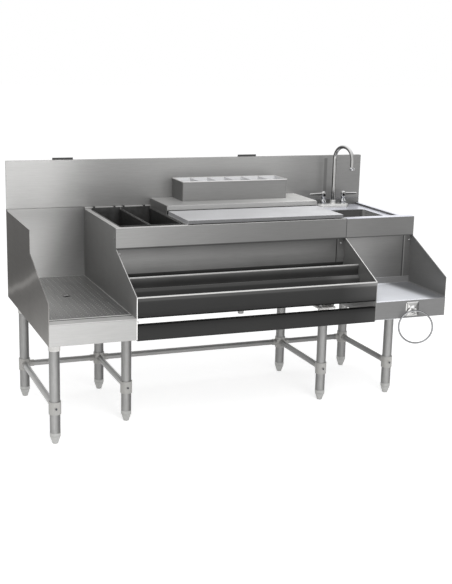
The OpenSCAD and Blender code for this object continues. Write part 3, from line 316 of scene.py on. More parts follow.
def faced(tree, normal, colour, turned_to, tint=(1.0, 1.0, 1.0)):
    """Paints light and shade on the faces turned a way; turned_to is direction, tone and the range
    if not the usual
    """
    direction, level, *span = turned_to
    low, high = span or TURN_RANGE
    mask = use_group(tree, "Facing", Normal=normal, Direction=direction, From=low, To=high)
    return mix_colour(tree, mask["Mask"], colour, grey(level, tint))


def new_material(name):
    """New material with its tree, its shader, and the object's own place and normal"""
    material = bpy.data.materials.new(name)
    material.use_nodes = True
    tree = material.node_tree
    own = add_node(tree, "TexCoord").outputs
    return material, tree, tree.nodes["Principled BSDF"], own["Object"], own["Normal"]


def surface(tree, shader, point, colour, clouds, rough, metallic, relief=None, grain=None):
    """Ends a finish: clouded colour, roughness that follows the clouds, and relief.

    clouds are marks per metre and shade, relief is share and depth, and grain, which then gives
    the relief, is lines per metre and shade.
    """
    marks = use_group(tree, "Soft Clouds", Vector=point, Marks_per_metre=clouds[0],
                      Shade_Amount=clouds[1])
    height = marks["Mark"]
    if grain:
        lines = use_group(tree, "Brushed Grain", Vector=point, Lines_per_metre=grain[0],
                          Shade_Amount=grain[1])
        colour, height = shade_colour(tree, colour, lines["Shade"]), lines["Height"]
    fill(shader, {"Base Color": shade_colour(tree, colour, marks["Shade"]),
                  "Roughness": map_range(tree, marks["Mark"], 0.0, 1.0, *rough),
                  "Metallic": metallic})
    if relief:
        share, depth = relief
        bump = fill(add_node(tree, "Bump"),
                    {"Strength": share, "Distance": depth, "Height": height})
        fill(shader, {"Normal": bump.outputs["Normal"]})


# Lines per metre of a grain that runs along x, y or z
GRAIN_X = (18.0, 380.0, 380.0)
GRAIN_Y = (380.0, 18.0, 380.0)
GRAIN_Z = (380.0, 380.0, 18.0)
TURNED_GRAIN = (200.0, 200.0, 30.0)
# From left to right in the photo's view
# Round pieces get their painted shade and painted reflection bands along this direction
ACROSS = Vector((0.93, -0.37, 0.0))


def brushed_sheet(name, start, end, tones, grain=GRAIN_X, waver=0.0, top=None, edge=None,
                  rough=(0.30, 0.42), tint=None, side=None, clouds=0.06, dots=None, metallic=0.5,
                  bands=(), lift=None, marks_per_metre=7.0, gloss=0.5):
    """Brushed stainless sheet whose tone runs through tones from start to end; the tones hold the
    sheet's own grey together with painted reflection and painted shade.

    lift gives a second start and end, and how much lighter the sheet is at each; this is painted
    light in hollows and on parts the lamps leave dark. top, edge and side paint light and shade on
    the faces turned one way: lighter tops, highlights on folded edges, lit and shaded sides. dots
    are pitch, radius, tone and stretch. Each band is two corners and the tone between them; most
    bands are painted shadow lines and painted highlight lines along folds and laps. A tone is a
    grey level or a colour.
    """
    finish = bpy.context.scene.station_finishes
    tint = tint or tuple(finish.steel_tint)
    material, tree, shader, point, normal = new_material(name)
    colour = tone_ramp(tree, run_place(tree, point, start, end, waver), tones, tint)
    if lift:
        near, far, least, most = lift
        place = run_place(tree, point, near, far, waver)
        colour = shade_colour(tree, colour, map_range(tree, place, 0.0, 1.0, least, most))
    for turned_to in (side, top, edge):
        if turned_to:
            colour = faced(tree, normal, colour, turned_to, tint)
    if dots:
        pitch, radius, level, stretch = dots
        drawn = vectors(tree, "MULTIPLY", point, (1.0, 1.0 / stretch, 1.0))
        rows = use_group(tree, "Dot Rows", Vector=drawn, Pitch=pitch, Radius=radius)
        colour = mix_colour(tree, rows["Mask"], colour, grey(level, tint))
    for low, high, level in bands:
        mask = use_group(tree, "Between Corners", Vector=point, Low=low, High=high)
        colour = mix_colour(tree, mask["Mask"], colour, grey(level, tint))
    surface(tree, shader, point, colour, (marks_per_metre, clouds), rough, metallic,
            relief=(0.35, finish.grain_depth), grain=(grain, finish.grain_shade))
    shader.inputs["Specular IOR Level"].default_value = gloss
    return material


def plain_finish(name, colour, rough=(0.4, 0.6), metallic=0.0, marks_per_metre=60.0, shade=0.12,
                 depth=0.0002):
    """Cast, moulded or foamed finish with a fine uneven surface"""
    material, tree, shader, point, _ = new_material(name)
    surface(tree, shader, point, colour, (marks_per_metre, shade), rough, metallic,
            relief=(0.5, depth))
    return material


def chrome_plate(name, level=1.0):
    """Polished chrome with painted reflection: the light and dark bands that a room leaves in it
    are painted in the base colour by the way the surface turns
    """
    finish = bpy.context.scene.station_finishes
    material, tree, shader, point, normal = new_material(name)
    place = use_group(tree, "Place Along", Vector=normal, Start=(-0.9, 0.0, -0.45),
                      Step=(0.55, 0.12, 0.25), Waver=0.15)["Place"]
    colour = tone_ramp(tree, place,
                       [(0.0, 90), (0.2, 225), (0.34, 255), (0.5, 70), (0.62, 45), (0.74, 200),
                        (0.88, 255), (1.0, 110)],
                       tuple(level * part for part in finish.chrome_tint))
    surface(tree, shader, point, colour, clouds=(90.0, 0.05), rough=(0.05, 0.12), metallic=1.0,
            relief=(0.1, 0.0001))
    return material


def round_metal(name, tones, rough=(0.06, 0.14), metallic=1.0, grain=0.03, faces=()):
    """Metal whose tone runs across a round piece from left to right, with set tones on faces; both
    are painted shade, painted highlight and painted reflection in the base colour
    """
    finish = bpy.context.scene.station_finishes
    material, tree, shader, point, normal = new_material(name)
    place = use_group(tree, "Place Along", Vector=normal, Start=-ACROSS, Step=ACROSS / 2)["Place"]
    colour = tone_ramp(tree, place, tones, tuple(finish.steel_tint))
    for turned_to in faces:
        colour = faced(tree, normal, colour, turned_to)
    surface(tree, shader, point, colour, (25.0, grain), rough, metallic,
            relief=(0.2, finish.grain_depth), grain=(TURNED_GRAIN, grain))
    return material


def strainer_plate(name):
    """Polished steel punched with rows of small dark holes"""
    material, tree, shader, point, _ = new_material(name)
    holes = use_group(tree, "Dot Rows", Vector=point, Pitch=0.007, Radius=0.0024)
    colour = mix_colour(tree, holes["Mask"], grey(205), grey(30))
    surface(tree, shader, point, colour, clouds=(60.0, 0.05), rough=(0.15, 0.3), metallic=0.8)
    return material


def upright_band(left, right, level, foot=0.5, head=0.9):
    """Band of one tone between two places from left to right"""
    return (left, -1, foot), (right, 1, head), level


def level_band(foot, head, level, left=LEFT, right=RIGHT):
    """Band of one tone between two heights"""
    return (left, -1, foot), (right, 1, head), level


def dress(material, *nodes):
    """Gives CAD nodes a material in every slot"""
    for node in nodes:
        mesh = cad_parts[node].data
        if not mesh.materials:
            mesh.materials.append(material)
        for place in range(len(mesh.materials)):
            mesh.materials[place] = material


def corners(node):
    """Lowest corner, highest corner and middle of a CAD node"""
    low, high = (Vector(corner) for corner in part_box(node))
    return low, high, (low + high) / 2


def only(piece):
    """Makes one piece the only selected one"""
    bpy.ops.object.select_all(action="DESELECT")
    piece.select_set(True)
    bpy.context.view_layer.objects.active = piece


def settled(piece, material, body, angle=40.0):
    """Closes a piece: place in the mesh, outward faces, smooth curves, material and body"""
    bpy.ops.object.mode_set(mode="OBJECT")
    only(piece)
    bpy.ops.object.transform_apply(location=True, rotation=True, scale=True)
    bpy.ops.object.mode_set(mode="EDIT")
    bpy.ops.mesh.select_all(action="SELECT")
    bpy.ops.mesh.remove_doubles(threshold=WELD)
    bpy.ops.mesh.normals_make_consistent(inside=False)
    bpy.ops.object.mode_set(mode="OBJECT")
    bpy.ops.object.shade_smooth_by_angle(angle=math.radians(angle))
    piece.data.materials.clear()
    piece.data.materials.append(material)
    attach(piece, body)
    return piece


def round_edges(piece, width):
    """Rounds the sharp edges of a piece"""
    only(piece)
    edge = piece.modifiers.new("rounded", "BEVEL")
    edge.width = width
    edge.segments = 2
    edge.limit_method = "ANGLE"
    edge.angle_limit = math.radians(35.0)
    bpy.ops.object.modifier_apply(modifier=edge.name)


TURNS = {"X": (0.0, math.pi / 2, 0.0), "Y": (math.pi / 2, 0.0, 0.0), "Z": (0.0, 0.0, 0.0)}
WAYS = {"X": Vector((1, 0, 0)), "Y": Vector((0, -1, 0)), "Z": Vector((0, 0, 1))}


def drawn_out(name, foot, axis, stations, sides=32, hollow=False):
    """Round piece drawn out along an axis; stations are (distance, half width, half height).

    Along Z the half sizes run in x and y, along X in y and z, and along Y, toward the front, in x
    and z.
    """
    bpy.ops.object.select_all(action="DESELECT")
    foot = Vector(foot)
    way = WAYS[axis]
    far, wide, high = stations[0]
    bpy.ops.mesh.primitive_circle_add(vertices=sides, radius=1.0,
                                      fill_type="NOTHING" if hollow else "NGON",
                                      location=foot + way * far, rotation=TURNS[axis])
    piece = bpy.context.object
    piece.name = name
    bpy.ops.object.transform_apply(location=True, rotation=True, scale=True)
    bpy.ops.object.mode_set(mode="EDIT")
    bpy.ops.mesh.select_all(action="SELECT")
    before = (1.0, 1.0)
    for place, (step, across, up) in enumerate(stations):
        if place:
            bpy.ops.mesh.extrude_region_move(
                TRANSFORM_OT_translate={"value": way * (step - far)})
        wider, higher = across / before[0], up / before[1]
        value = {"X": (1.0, wider, higher), "Y": (wider, 1.0, higher),
                 "Z": (wider, higher, 1.0)}[axis]
        bpy.ops.transform.resize(value=value, center_override=foot + way * step)
        far, before = step, (across, up)
    bpy.ops.object.mode_set(mode="OBJECT")
    return piece


def turned(name, foot, axis, profile, sides=32, hollow=False):
    """Piece turned on a lathe; profile is (distance, radius) from the foot, in millimetres"""
    stations = [(far / 1000, radius / 1000, radius / 1000) for far, radius in profile]
    return drawn_out(name, foot, axis, stations, sides, hollow)


def lumps(node):
    """Lowest and highest corners of the separate solids of a CAD node, from left to right"""
    mesh = bmesh.new()
    mesh.from_mesh(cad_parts[node].data)
    bmesh.ops.remove_doubles(mesh, verts=mesh.verts, dist=WELD)
    left = set(mesh.verts)
    found = []
    while left:
        start = left.pop()
        group, edge = {start}, [start]
        while edge:
            for line in edge.pop().link_edges:
                for vert in line.verts:
                    if vert in left:
                        left.discard(vert)
                        group.add(vert)
                        edge.append(vert)
        places = [vert.co for vert in group]
        found.append((Vector([min(co[axis] for co in places) for axis in range(3)]),
                      Vector([max(co[axis] for co in places) for axis in range(3)])))
    mesh.free()
    return sorted(found, key=lambda pair: (round(pair[0].x, 3), pair[0].y))


def joined(first, *others):
    """One piece of several"""
    only(first)
    for piece in others:
        piece.select_set(True)
    bpy.ops.object.join()
    return first


def cut_block(name, low, high, along, corner, segments):
    """Block between two corners whose edges along an axis are rounded in edit mode"""
    low, high = Vector(low), Vector(high)
    bpy.ops.object.select_all(action="DESELECT")
    bpy.ops.mesh.primitive_cube_add(size=1.0, location=(low + high) / 2)
    piece = bpy.context.object
    piece.name = name
    piece.scale = high - low
    bpy.ops.object.transform_apply(location=True, rotation=True, scale=True)
    bpy.ops.object.mode_set(mode="EDIT")
    bpy.ops.mesh.select_mode(type="EDGE")
    bpy.ops.mesh.select_all(action="DESELECT")
    mesh = bmesh.from_edit_mesh(piece.data)
    for line in mesh.edges:
        run = (line.verts[1].co - line.verts[0].co).normalized()
        line.select_set(abs(run["XYZ".index(along)]) > SQUARELY)
    bmesh.update_edit_mesh(piece.data)
    bpy.ops.mesh.bevel(offset=corner, segments=segments)
    bpy.ops.mesh.select_mode(type="FACE")
    return piece


def pick_faces(piece, test):
    """Selects the faces whose middle and normal pass the test, in edit mode"""
    bpy.ops.mesh.select_all(action="DESELECT")
    mesh = bmesh.from_edit_mesh(piece.data)
    for face in mesh.faces:
        face.select_set(bool(test(face.calc_center_median(), face.normal)))
    bmesh.update_edit_mesh(piece.data)


class STATION_OT_sheet_finish(Operator):
    """Brush the sheets of the body: backsplash, panels, drainboard and bin, with painted light,
    shade and reflection on them
    """
    bl_idname = "station.sheet_finish"
    bl_label = "Finish the sheet metal"

    def execute(self, context):
        # Backsplash: painted reflection in the tone ramp along its length, painted light making it
        # lighter towards the top, and a darker upright band near the right
        dress(brushed_sheet("brushed_backsplash", (LEFT, 0, 1.0), (RIGHT, 0, 0.9),
                            [(0.0, 186), (0.08, 189), (0.14, 182), (0.2, 152), (0.26, 141),
                             (0.33, 138), (0.46, 152), (0.56, 146), (0.68, 156), (0.76, 148),
                             (0.82, 134), (0.88, 136), (1.0, 122)], waver=0.05,
                            lift=((0, 0, 0.81), (0, 0, 1.012), 0.96, 1.06),
                            bands=(upright_band(0.646, 0.663, 108, 0.8, 1.0),)), "backsplash")
        # Left back panel: painted reflection of the panel beside it darkens it towards the lower
        # right, and painted light lifts it towards the bottom of its hollow
        dress(brushed_sheet("brushed_left_back", (LEFT, 0, RIM), (BIN_LEFT, 0, 0.66),
                            [(0.0, 190), (0.3, 186), (0.5, 176), (0.66, 150), (0.8, 120),
                             (1.0, 102)], waver=0.08, metallic=0.2,
                            lift=((0, 0, 0.78), (0, 0, 0.52), 0.9, 2.0)), "left_back_panel")
        # Left end panel: the tones hold a painted reflection band and painted shade, and the
        # slanted front edge carries a painted highlight
        foot = Vector((LEFT, FRONT, PANEL_FOOT))
        dress(brushed_sheet("brushed_left_end", foot,
                            foot + Vector((0.0, SLANT_RUN, SLANT_RISE)) * 0.6,
                            [(0.0, 178), (0.12, 162), (0.3, 130), (0.42, 120), (0.455, 175),
                             (0.49, 118), (0.6, 113), (0.8, 118), (1.0, 122)], GRAIN_Y, waver=0.05,
                            edge=(SLANTED, 205, 0.93, 0.99), tint=(1.0, 0.975, 0.94),
                            metallic=0.0, gloss=0.0), "left_end_panel")
        # Inner left, divider and right end panels: the edge tones are painted highlights on their
        # slanted front edges
        for name, tones, edge, bands, node in (
                ("brushed_inner_left", [(0.0, 134), (0.5, 136), (1.0, 138)],
                 (SLANTED, 245, 0.7, 0.9), (), "centre_left_panel"),
                ("brushed_divider", [(0.0, 120), (0.5, 130), (1.0, 140)],
                 ((0, -0.7, 0.7), 250, 0.8, 0.9), (), "divider_panel"),
                ("brushed_right_end", [(0.0, 124), (0.5, 119), (1.0, 126)],
                 (SLANTED, 235, 0.7, 0.9),
                 (((RIGHT - 0.1, FRONT, 0.49), (RIGHT, WALL, 0.509), 150),), "right_end_panel")):
            dress(brushed_sheet(name, (0, 0, PANEL_FOOT), (0, 0, RIM), tones, GRAIN_Y, waver=0.2,
                                metallic=0.3, edge=edge, bands=bands), node)
        seam = INSERT_FRONT[1]
        # Drainboard pan: painted light on its top faces, and a painted shadow line in the gap at
        # the insert's front edge
        dress(brushed_sheet("brushed_drainboard", (LEFT, 0, 0), (BIN_LEFT, 0, 0),
                            [(0.0, 181), (1.0, 166)], top=(UP, 215),
                            bands=(((LEFT, seam - 0.010, 0.5), (BIN_LEFT, seam + 0.003, 0.51),
                                    45),)), "drainboard_pan")
        # Drainboard insert: painted light lifts it towards the back, its front faces and front edge
        # carry painted highlights, and the tones run darker to the right; the dots are its
        # perforations
        dress(brushed_sheet("brushed_insert", (LEFT, -0.1, 0), (BIN_LEFT, 0.1, 0),
                            [(0.0, 128), (0.3, 112), (0.6, 86), (1.0, 76)], GRAIN_Y, metallic=0.3,
                            edge=(FRONTWARD, 225), dots=(0.014, 0.0034, 150, 1.5),
                            bands=((INSERT_FRONT, INSERT_EDGE, 255),),
                            lift=((0, -0.31, 0), (0, 0.40, 0), 0.95, 3.0)), "drainboard_insert")
        # Bin top: painted light on its top faces, painted shade at its right end by the divider,
        # and a painted shadow line under the apron
        dress(brushed_sheet("brushed_bin_top", (BIN_LEFT, 0, 0), (BIN_RIGHT, 0, 0),
                            [(0.0, 150), (0.3, 127), (0.7, 108), (1.0, 112)], top=(UP, 205),
                            bands=(upright_band(BIN_RIGHT - 0.004, BIN_RIGHT + 1, 62),
                                   level_band(0.71, 0.7215, 66))), "bin_top")
        # Bin front panel: painted light lifts its lower part, a painted shadow line and a painted
        # highlight line mark the lap near its right end, and a painted shadow lies under the apron
        dress(brushed_sheet("brushed_bin_front", (BIN_LEFT, 0, 0.63), (BIN_RIGHT, 0, 0.70),
                            [(0.0, 103), (0.3, 94), (0.7, 86), (1.0, 82)], waver=0.1,
                            lift=((0, 0, 0.71), (0, 0, 0.64), 1.0, 2.6),
                            bands=(upright_band(BIN_RIGHT - 0.0405, BIN_RIGHT - 0.0355, 48),
                                   upright_band(BIN_RIGHT - 0.0345, BIN_RIGHT - 0.03, 118),
                                   level_band(0.711, 0.72, 50, BIN_LEFT, BIN_RIGHT))),
              "bin_front_panel")
        # Ice bin liner and partition: painted shade, darker towards the bottom
        dress(brushed_sheet("brushed_bin_inside", (0, 0, 0.49), (0, 0, RIM),
                            [(0.0, 110), (1.0, 150)], GRAIN_Y, waver=0.2),
              "ice_bin_liner", "well_partition")
        dress(brushed_sheet("brushed_hidden", (0, 0, 0.42), (0, 0, RIM),
                            [(0.0, 150), (1.0, 150)], metallic=0.3),
              "ice_bin_shell", "right_back_panel")
        # Support channels: painted light, lighter towards the top, where they lie in shade under
        # the bin
        dress(brushed_sheet("brushed_channels", (0, 0, 0.4), (0, 0, 0.45),
                            [(0.0, 170), (1.0, 235)], metallic=0.0), "support_channels")
        return {"FINISHED"}


class STATION_OT_sink_finish(Operator):
    """Brush the sink section: deck, bowl, panel and shelf, with painted light, shade and reflection
    on them
    """
    bl_idname = "station.sink_finish"
    bl_label = "Finish the sink section"

    def execute(self, context):
        # Sink deck: a painted bluish highlight on its top faces and a painted shadow line under the
        # apron
        dress(brushed_sheet("brushed_deck", (BIN_RIGHT, 0, 0), (RIGHT, 0, 0),
                            [(0.0, 117), (0.5, 107), (1.0, 108)], top=(UP, BLUE_WHITE),
                            bands=(level_band(0.71, 0.7205, 72),)), "sink_deck")
        # Sink bowl: painted light on the walls that face left and towards the bottom
        dress(brushed_sheet("brushed_bowl", (0, 0, 0.54), (0, 0, 0.78), [(0.0, 150), (1.0, 110)],
                            GRAIN_Z, waver=0.2, rough=(0.2, 0.3), side=(LEFTWARD, 200)),
              "sink_bowl")
        # Sink front panel: painted reflection darkens it towards the right, a painted shadow line
        # and a painted highlight line mark the lap near its right end, and a lighter line runs near
        # its foot
        dress(brushed_sheet("brushed_sink_front", (BIN_RIGHT, 0, 0.6), (RIGHT, 0, 0.6),
                            [(0.0, 136), (0.3, 130), (0.5, 120), (0.75, 118), (1.0, 106)],
                            waver=0.1,
                            bands=(upright_band(RIGHT - 0.042, RIGHT - 0.037, 62),
                                   upright_band(RIGHT - 0.036, RIGHT - 0.031, 150),
                                   level_band(0.526, 0.5325, 150))), "sink_front_panel")
        # Blender shelf: painted light keeps its top near white, a painted reflection darkens its
        # right part with a bluish cast, and its front faces carry painted shade
        dress(brushed_sheet("brushed_shelf", (RIGHT - 0.477, -0.291, 0),
                            (RIGHT - 0.051, -0.229, 0),
                            [(0.0, 205), (0.15, 235), (0.3, 255), (0.6, 255), (0.86, 246),
                             (0.935, 128), (1.0, 112)], metallic=0.0, tint=(0.93, 0.95, 1.0),
                            side=(FRONTWARD, grey(112))), "blender_shelf")
        return {"FINISHED"}


class STATION_OT_lid_finish(Operator):
    """Polish the lids and the condiment box, and paint light, shade and reflection on them"""
    bl_idname = "station.lid_finish"
    bl_label = "Finish the lids"

    def execute(self, context):
        left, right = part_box("front_lid")[0][0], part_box("front_lid")[1][0]
        run = (left, 0, 0), (right, 0, 0)
        # Front lid: painted reflection lightens it towards the right, and its front faces carry
        # painted shade
        dress(brushed_sheet("front_lid_painted_light", *run,
                            [(0.0, 200), (0.4, 208), (0.75, 234), (1.0, 255)], metallic=0.2,
                            side=(FRONTWARD, 101), tint=(0.97, 0.975, 1.0)), "front_lid")
        # Rear lid: painted reflection lightens it towards the right, and its left and front faces
        # carry painted shade
        dress(brushed_sheet("rear_lid_painted_light", *run,
                            [(0.0, 168), (0.5, 188), (0.75, 212), (1.0, 255)], metallic=0.2,
                            side=(LEFTWARD, 118), edge=(FRONTWARD, 156)), "rear_lid")
        # Condiment box: painted shade on its left faces, and a painted highlight on its top faces
        # and along its rim
        dress(brushed_sheet("brushed_box", *run, [(0.0, 136), (0.5, 126), (1.0, 132)],
                            side=(LEFTWARD, 116), top=(UP, 255),
                            bands=(level_band(0.9225, 0.93, 225, left, right),)), "condiment_box")
        finish = context.scene.station_finishes
        dress(plain_finish("moulded_pans", tuple(finish.pan_white), rough=(0.35, 0.5), shade=0.05),
              "condiment_pans")
        black = finish.rack_tone
        # Bottle racks: painted light makes them lighter towards the top and on their top faces
        dress(brushed_sheet("moulded_racks", (0, 0, RIM - 0.262), (0, 0, RIM),
                            [(0.0, 0.9 * black), (0.7, black), (1.0, 1.3 * black)], GRAIN_Z,
                            rough=(0.3, 0.5), clouds=0.6, marks_per_metre=38.0, metallic=0.0,
                            top=(UP, 2.2 * black)), "bottle_rack_left", "bottle_rack_right")
        return {"FINISHED"}


class STATION_OT_rail_finish(Operator):
    """Darken the speed rails and the lower bar, with painted highlights on the folded edges"""
    bl_idname = "station.rail_finish"
    bl_label = "Finish the speed rails"

    def execute(self, context):
        # The tones along each rail's height hold painted shade and painted highlights on its own
        # dark colour; the hem tone is a painted highlight along the folded top
        for name, node, tones, lift, hem_highlight in (
                ("dark_rear_rail", "speed_rail_rear",
                 [(0.0, 100), (0.34, 118), (0.5, 50), (0.72, 58), (0.8, 80), (0.94, 82),
                  (1.0, 175)], None, 190),
                ("dark_front_rail", "speed_rail_front",
                 [(0.0, 14), (0.1, 18), (0.3, 32), (0.7, 32), (0.78, 40), (0.82, 68), (0.93, 60),
                  (0.97, 84), (1.0, 175)], (0.16, 3.6), 190),
                ("dark_bar", "lower_bar",
                 [(0.0, 30), (0.15, 32), (0.3, 34), (0.7, 30), (0.85, 14), (1.0, 10)],
                 (0.1, 2.2), None)):
            foot, head = (corner[2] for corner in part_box(node))
            # lift is painted light that lightens the rail towards the bin's right end
            if lift:
                reach, most = lift
                lift = (BIN_RIGHT - reach, 0, 0), (BIN_RIGHT, 0, 0), 1.0, most
            bands = (level_band(head - 0.006, head + 0.01, hem_highlight),) if hem_highlight else ()
            dress(brushed_sheet(name, (0, 0, foot), (0, 0, head), tones, clouds=0.12, lift=lift,
                                bands=bands), node)
        return {"FINISHED"}


class STATION_OT_leg_finish(Operator):
    """Finish the legs, rails, sockets, clamps and feet"""
    bl_idname = "station.leg_finish"
    bl_label = "Finish the legs"

    def execute(self, context):
        # Legs and inserts: painted shade and painted reflection bands across each tube
        dress(round_metal("satin_tube", [(0.0, 118), (0.2, 140), (0.5, 168), (0.7, 158),
                                         (0.86, 106), (1.0, 90)], rough=(0.3, 0.42), metallic=0.4,
                          grain=0.1), "legs", "leg_inserts")
        # Side and rear rails: painted shade, darker from left to right
        dress(brushed_sheet("satin_rail", (LEFT, 0, 0), (RIGHT, 0, 0),
                            [(0.0, 172), (1.0, 130)]), "side_rails", "rear_rails")
        for name, colour, rough, metallic, nodes in (
                ("cast_fittings", (0.40, 0.395, 0.38), (0.35, 0.5), 0.4,
                 ("leg_clamps", "clamp_screws", "panel_screws", "faucet_base", "faucet_bonnets",
                  "handle_left", "handle_right", "faucet_aerator", "towel_ring_bracket",
                  *(f"foot_{number}" for number in FEET))),
                # Light socket colour: painted light where the sockets sit in shade under the bin
                ("socket_steel", (0.8, 0.79, 0.77), (0.35, 0.5), 0.1, ("leg_sockets",)),
                # Dark clip colour: painted shade on the clips' fronts
                ("clip_steel", (0.12, 0.12, 0.12), (0.4, 0.6), 1.0, ("wall_clips",)),
                ("yellow_brass", (0.55, 0.38, 0.16), (0.25, 0.4), 1.0,
                 ("supply_shanks", "shank_nuts"))):
            dress(plain_finish(name, colour, rough, metallic), *nodes)
        dress(plain_finish("cut_foam", (0.75, 0.66, 0.4), rough=(0.9, 1.0), depth=0.001),
              "bin_insulation")
        # Drains: painted shade, a little darker towards the bottom
        dress(brushed_sheet("turned_drains", (0, 0, 0.3), (0, 0, 0.6), [(0.0, 150), (1.0, 170)],
                            GRAIN_Z), "ice_bin_drain", "sink_drain")
        return {"FINISHED"}


def chrome():
    """The polished chrome, made once"""
    return bpy.data.materials.get("polished_chrome") or chrome_plate("polished_chrome")


class STATION_OT_faucet_body(Operator):
    """Model the faucet's long base with its collar, and the two bell-shaped bonnets"""
    bl_idname = "station.faucet_body"
    bl_label = "Model the faucet body"

    def execute(self, context):
        low, high, middle = corners("faucet_base")
        plate, corner = 0.0125, 0.0235
        # Inset and height of the step on top of the plate, and of the slope above it
        step, slope = (0.0015, 0.003), (0.0035, 0.0025)
        collar_foot, bonnet_foot, edge_width = low.z + 0.017, low.z + 0.018, 0.0008
        bar = cut_block("faucet_body", low, (high.x, high.y, low.z + plate), "Z", corner, 8)
        pick_faces(bar, lambda place, normal: normal.z > SQUARELY)
        bpy.ops.mesh.inset(thickness=step[0])
        bpy.ops.mesh.extrude_region_move(TRANSFORM_OT_translate={"value": (0, 0, step[1])})
        bpy.ops.mesh.inset(thickness=slope[0])
        bpy.ops.transform.translate(value=(0, 0, slope[1]))
        bpy.ops.object.mode_set(mode="OBJECT")
        collar = turned("faucet_collar", (middle.x, middle.y, collar_foot), "Z",
                        [(0, 16.5), (2, 16.5), (3.4, 15), (5, 14), (12, 13.2), (13.4, 13.9),
                         (17, 13.9), (18.6, 12.6), (19, 9.2)], 40)
        bar = joined(bar, collar)
        round_edges(bar, edge_width)
        # Faucet body: painted highlight on its top faces and painted shade on the faces turned to
        # the right
        metal = round_metal("chrome_bar", [(0.0, 225), (0.5, 205), (0.7, 215), (1.0, 60)],
                            rough=(0.08, 0.2), metallic=0.5, faces=((UP, 250, 0.8, 0.95),))
        settled(bar, metal, "station")
        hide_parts("faucet_base")

        bell = [(0, 15), (1.6, 15), (3, 14.2), (4.2, 12.4), (8, 13.6), (13, 13.4), (17, 11.6),
                (20, 9.2), (24, 8.2), (28, 8.6), (29.5, 9.8), (33, 9.8), (34.6, 9)]
        stems = lumps("faucet_bonnets")
        for place, (near, far) in zip(("left", "right"), stems):
            spot = (near + far) / 2
            bonnet = turned(f"bonnet_{place}", (spot.x, spot.y, bonnet_foot), "Z", bell, 36)
            settled(bonnet, chrome(), "station")
            if place == "left":
                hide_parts("faucet_bonnets")
        # Spout: painted reflection bands across it and a painted highlight on its upper faces
        dress(round_metal("spout_chrome", [(0.0, 75), (0.16, 100), (0.34, 225), (0.5, 150),
                                           (0.64, 190), (0.84, 100), (1.0, 60)],
                          faces=((UP, 240, 0.3, 0.8),)), "faucet_spout")
        return {"FINISHED"}


class STATION_OT_faucet_levers(Operator):
    """Model the two tapered lever handles and the aerator"""
    bl_idname = "station.faucet_levers"
    bl_label = "Model the levers and the aerator"

    def execute(self, context):
        hub = [(0, 9.6), (1, 10.6), (5, 12), (12, 13), (15, 12.8), (18.5, 10.8), (21, 8.2),
               (21.6, 7.2), (22.6, 7), (23.6, 5.8), (24, 4)]
        blade = [(6, 6.8, 6.8), (13, 6.4, 6.4), (22, 6.4, 6), (36, 7, 5.6), (52, 7.8, 5.2),
                 (63, 7.8, 4.6), (69, 6.2, 3.6), (71.6, 3.4, 2)]
        # Levers: painted reflection bands, a painted highlight on top and painted shade underneath
        metal = round_metal("lever_chrome", [(0.0, 235), (0.3, 200), (0.5, 90), (0.75, 160),
                                             (1.0, 70)],
                            faces=(((0, -0.85, -0.53), 40, 0.8, 0.93), (UP, 255, 0.5, 0.8)))
        stems, arm_height = lumps("faucet_bonnets"), 0.011
        for side, place, (near, far) in zip((-1, 1), ("left", "right"), stems):
            spot = (near + far) / 2
            foot = Vector((spot.x, spot.y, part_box(f"handle_{place}")[0][2]))
            post = turned(f"lever_{place}", foot, "Z", hub, 36)
            arm = drawn_out(f"arm_{place}", foot + Vector((0, 0, arm_height)), "X",
                            [(side * far / 1000, wide / 1000, high / 1000)
                             for far, wide, high in blade], 24)
            lever = joined(post, arm)
            settled(lever, metal, f"handle_{place}")
            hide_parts(f"handle_{place}")
        low, _, spot = corners("faucet_aerator")
        tip = turned("spray_tip", (spot.x, spot.y, low.z), "Z",
                     [(3, 7), (0.8, 8), (0, 9.4), (0.7, 10.8), (4.4, 11.4), (5, 10.8), (5.6, 11.4),
                      (8.6, 11.4), (10.4, 10.2), (11.9, 9)], 36)
        settled(tip, chrome(), "spout")
        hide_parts("faucet_aerator")
        return {"FINISHED"}


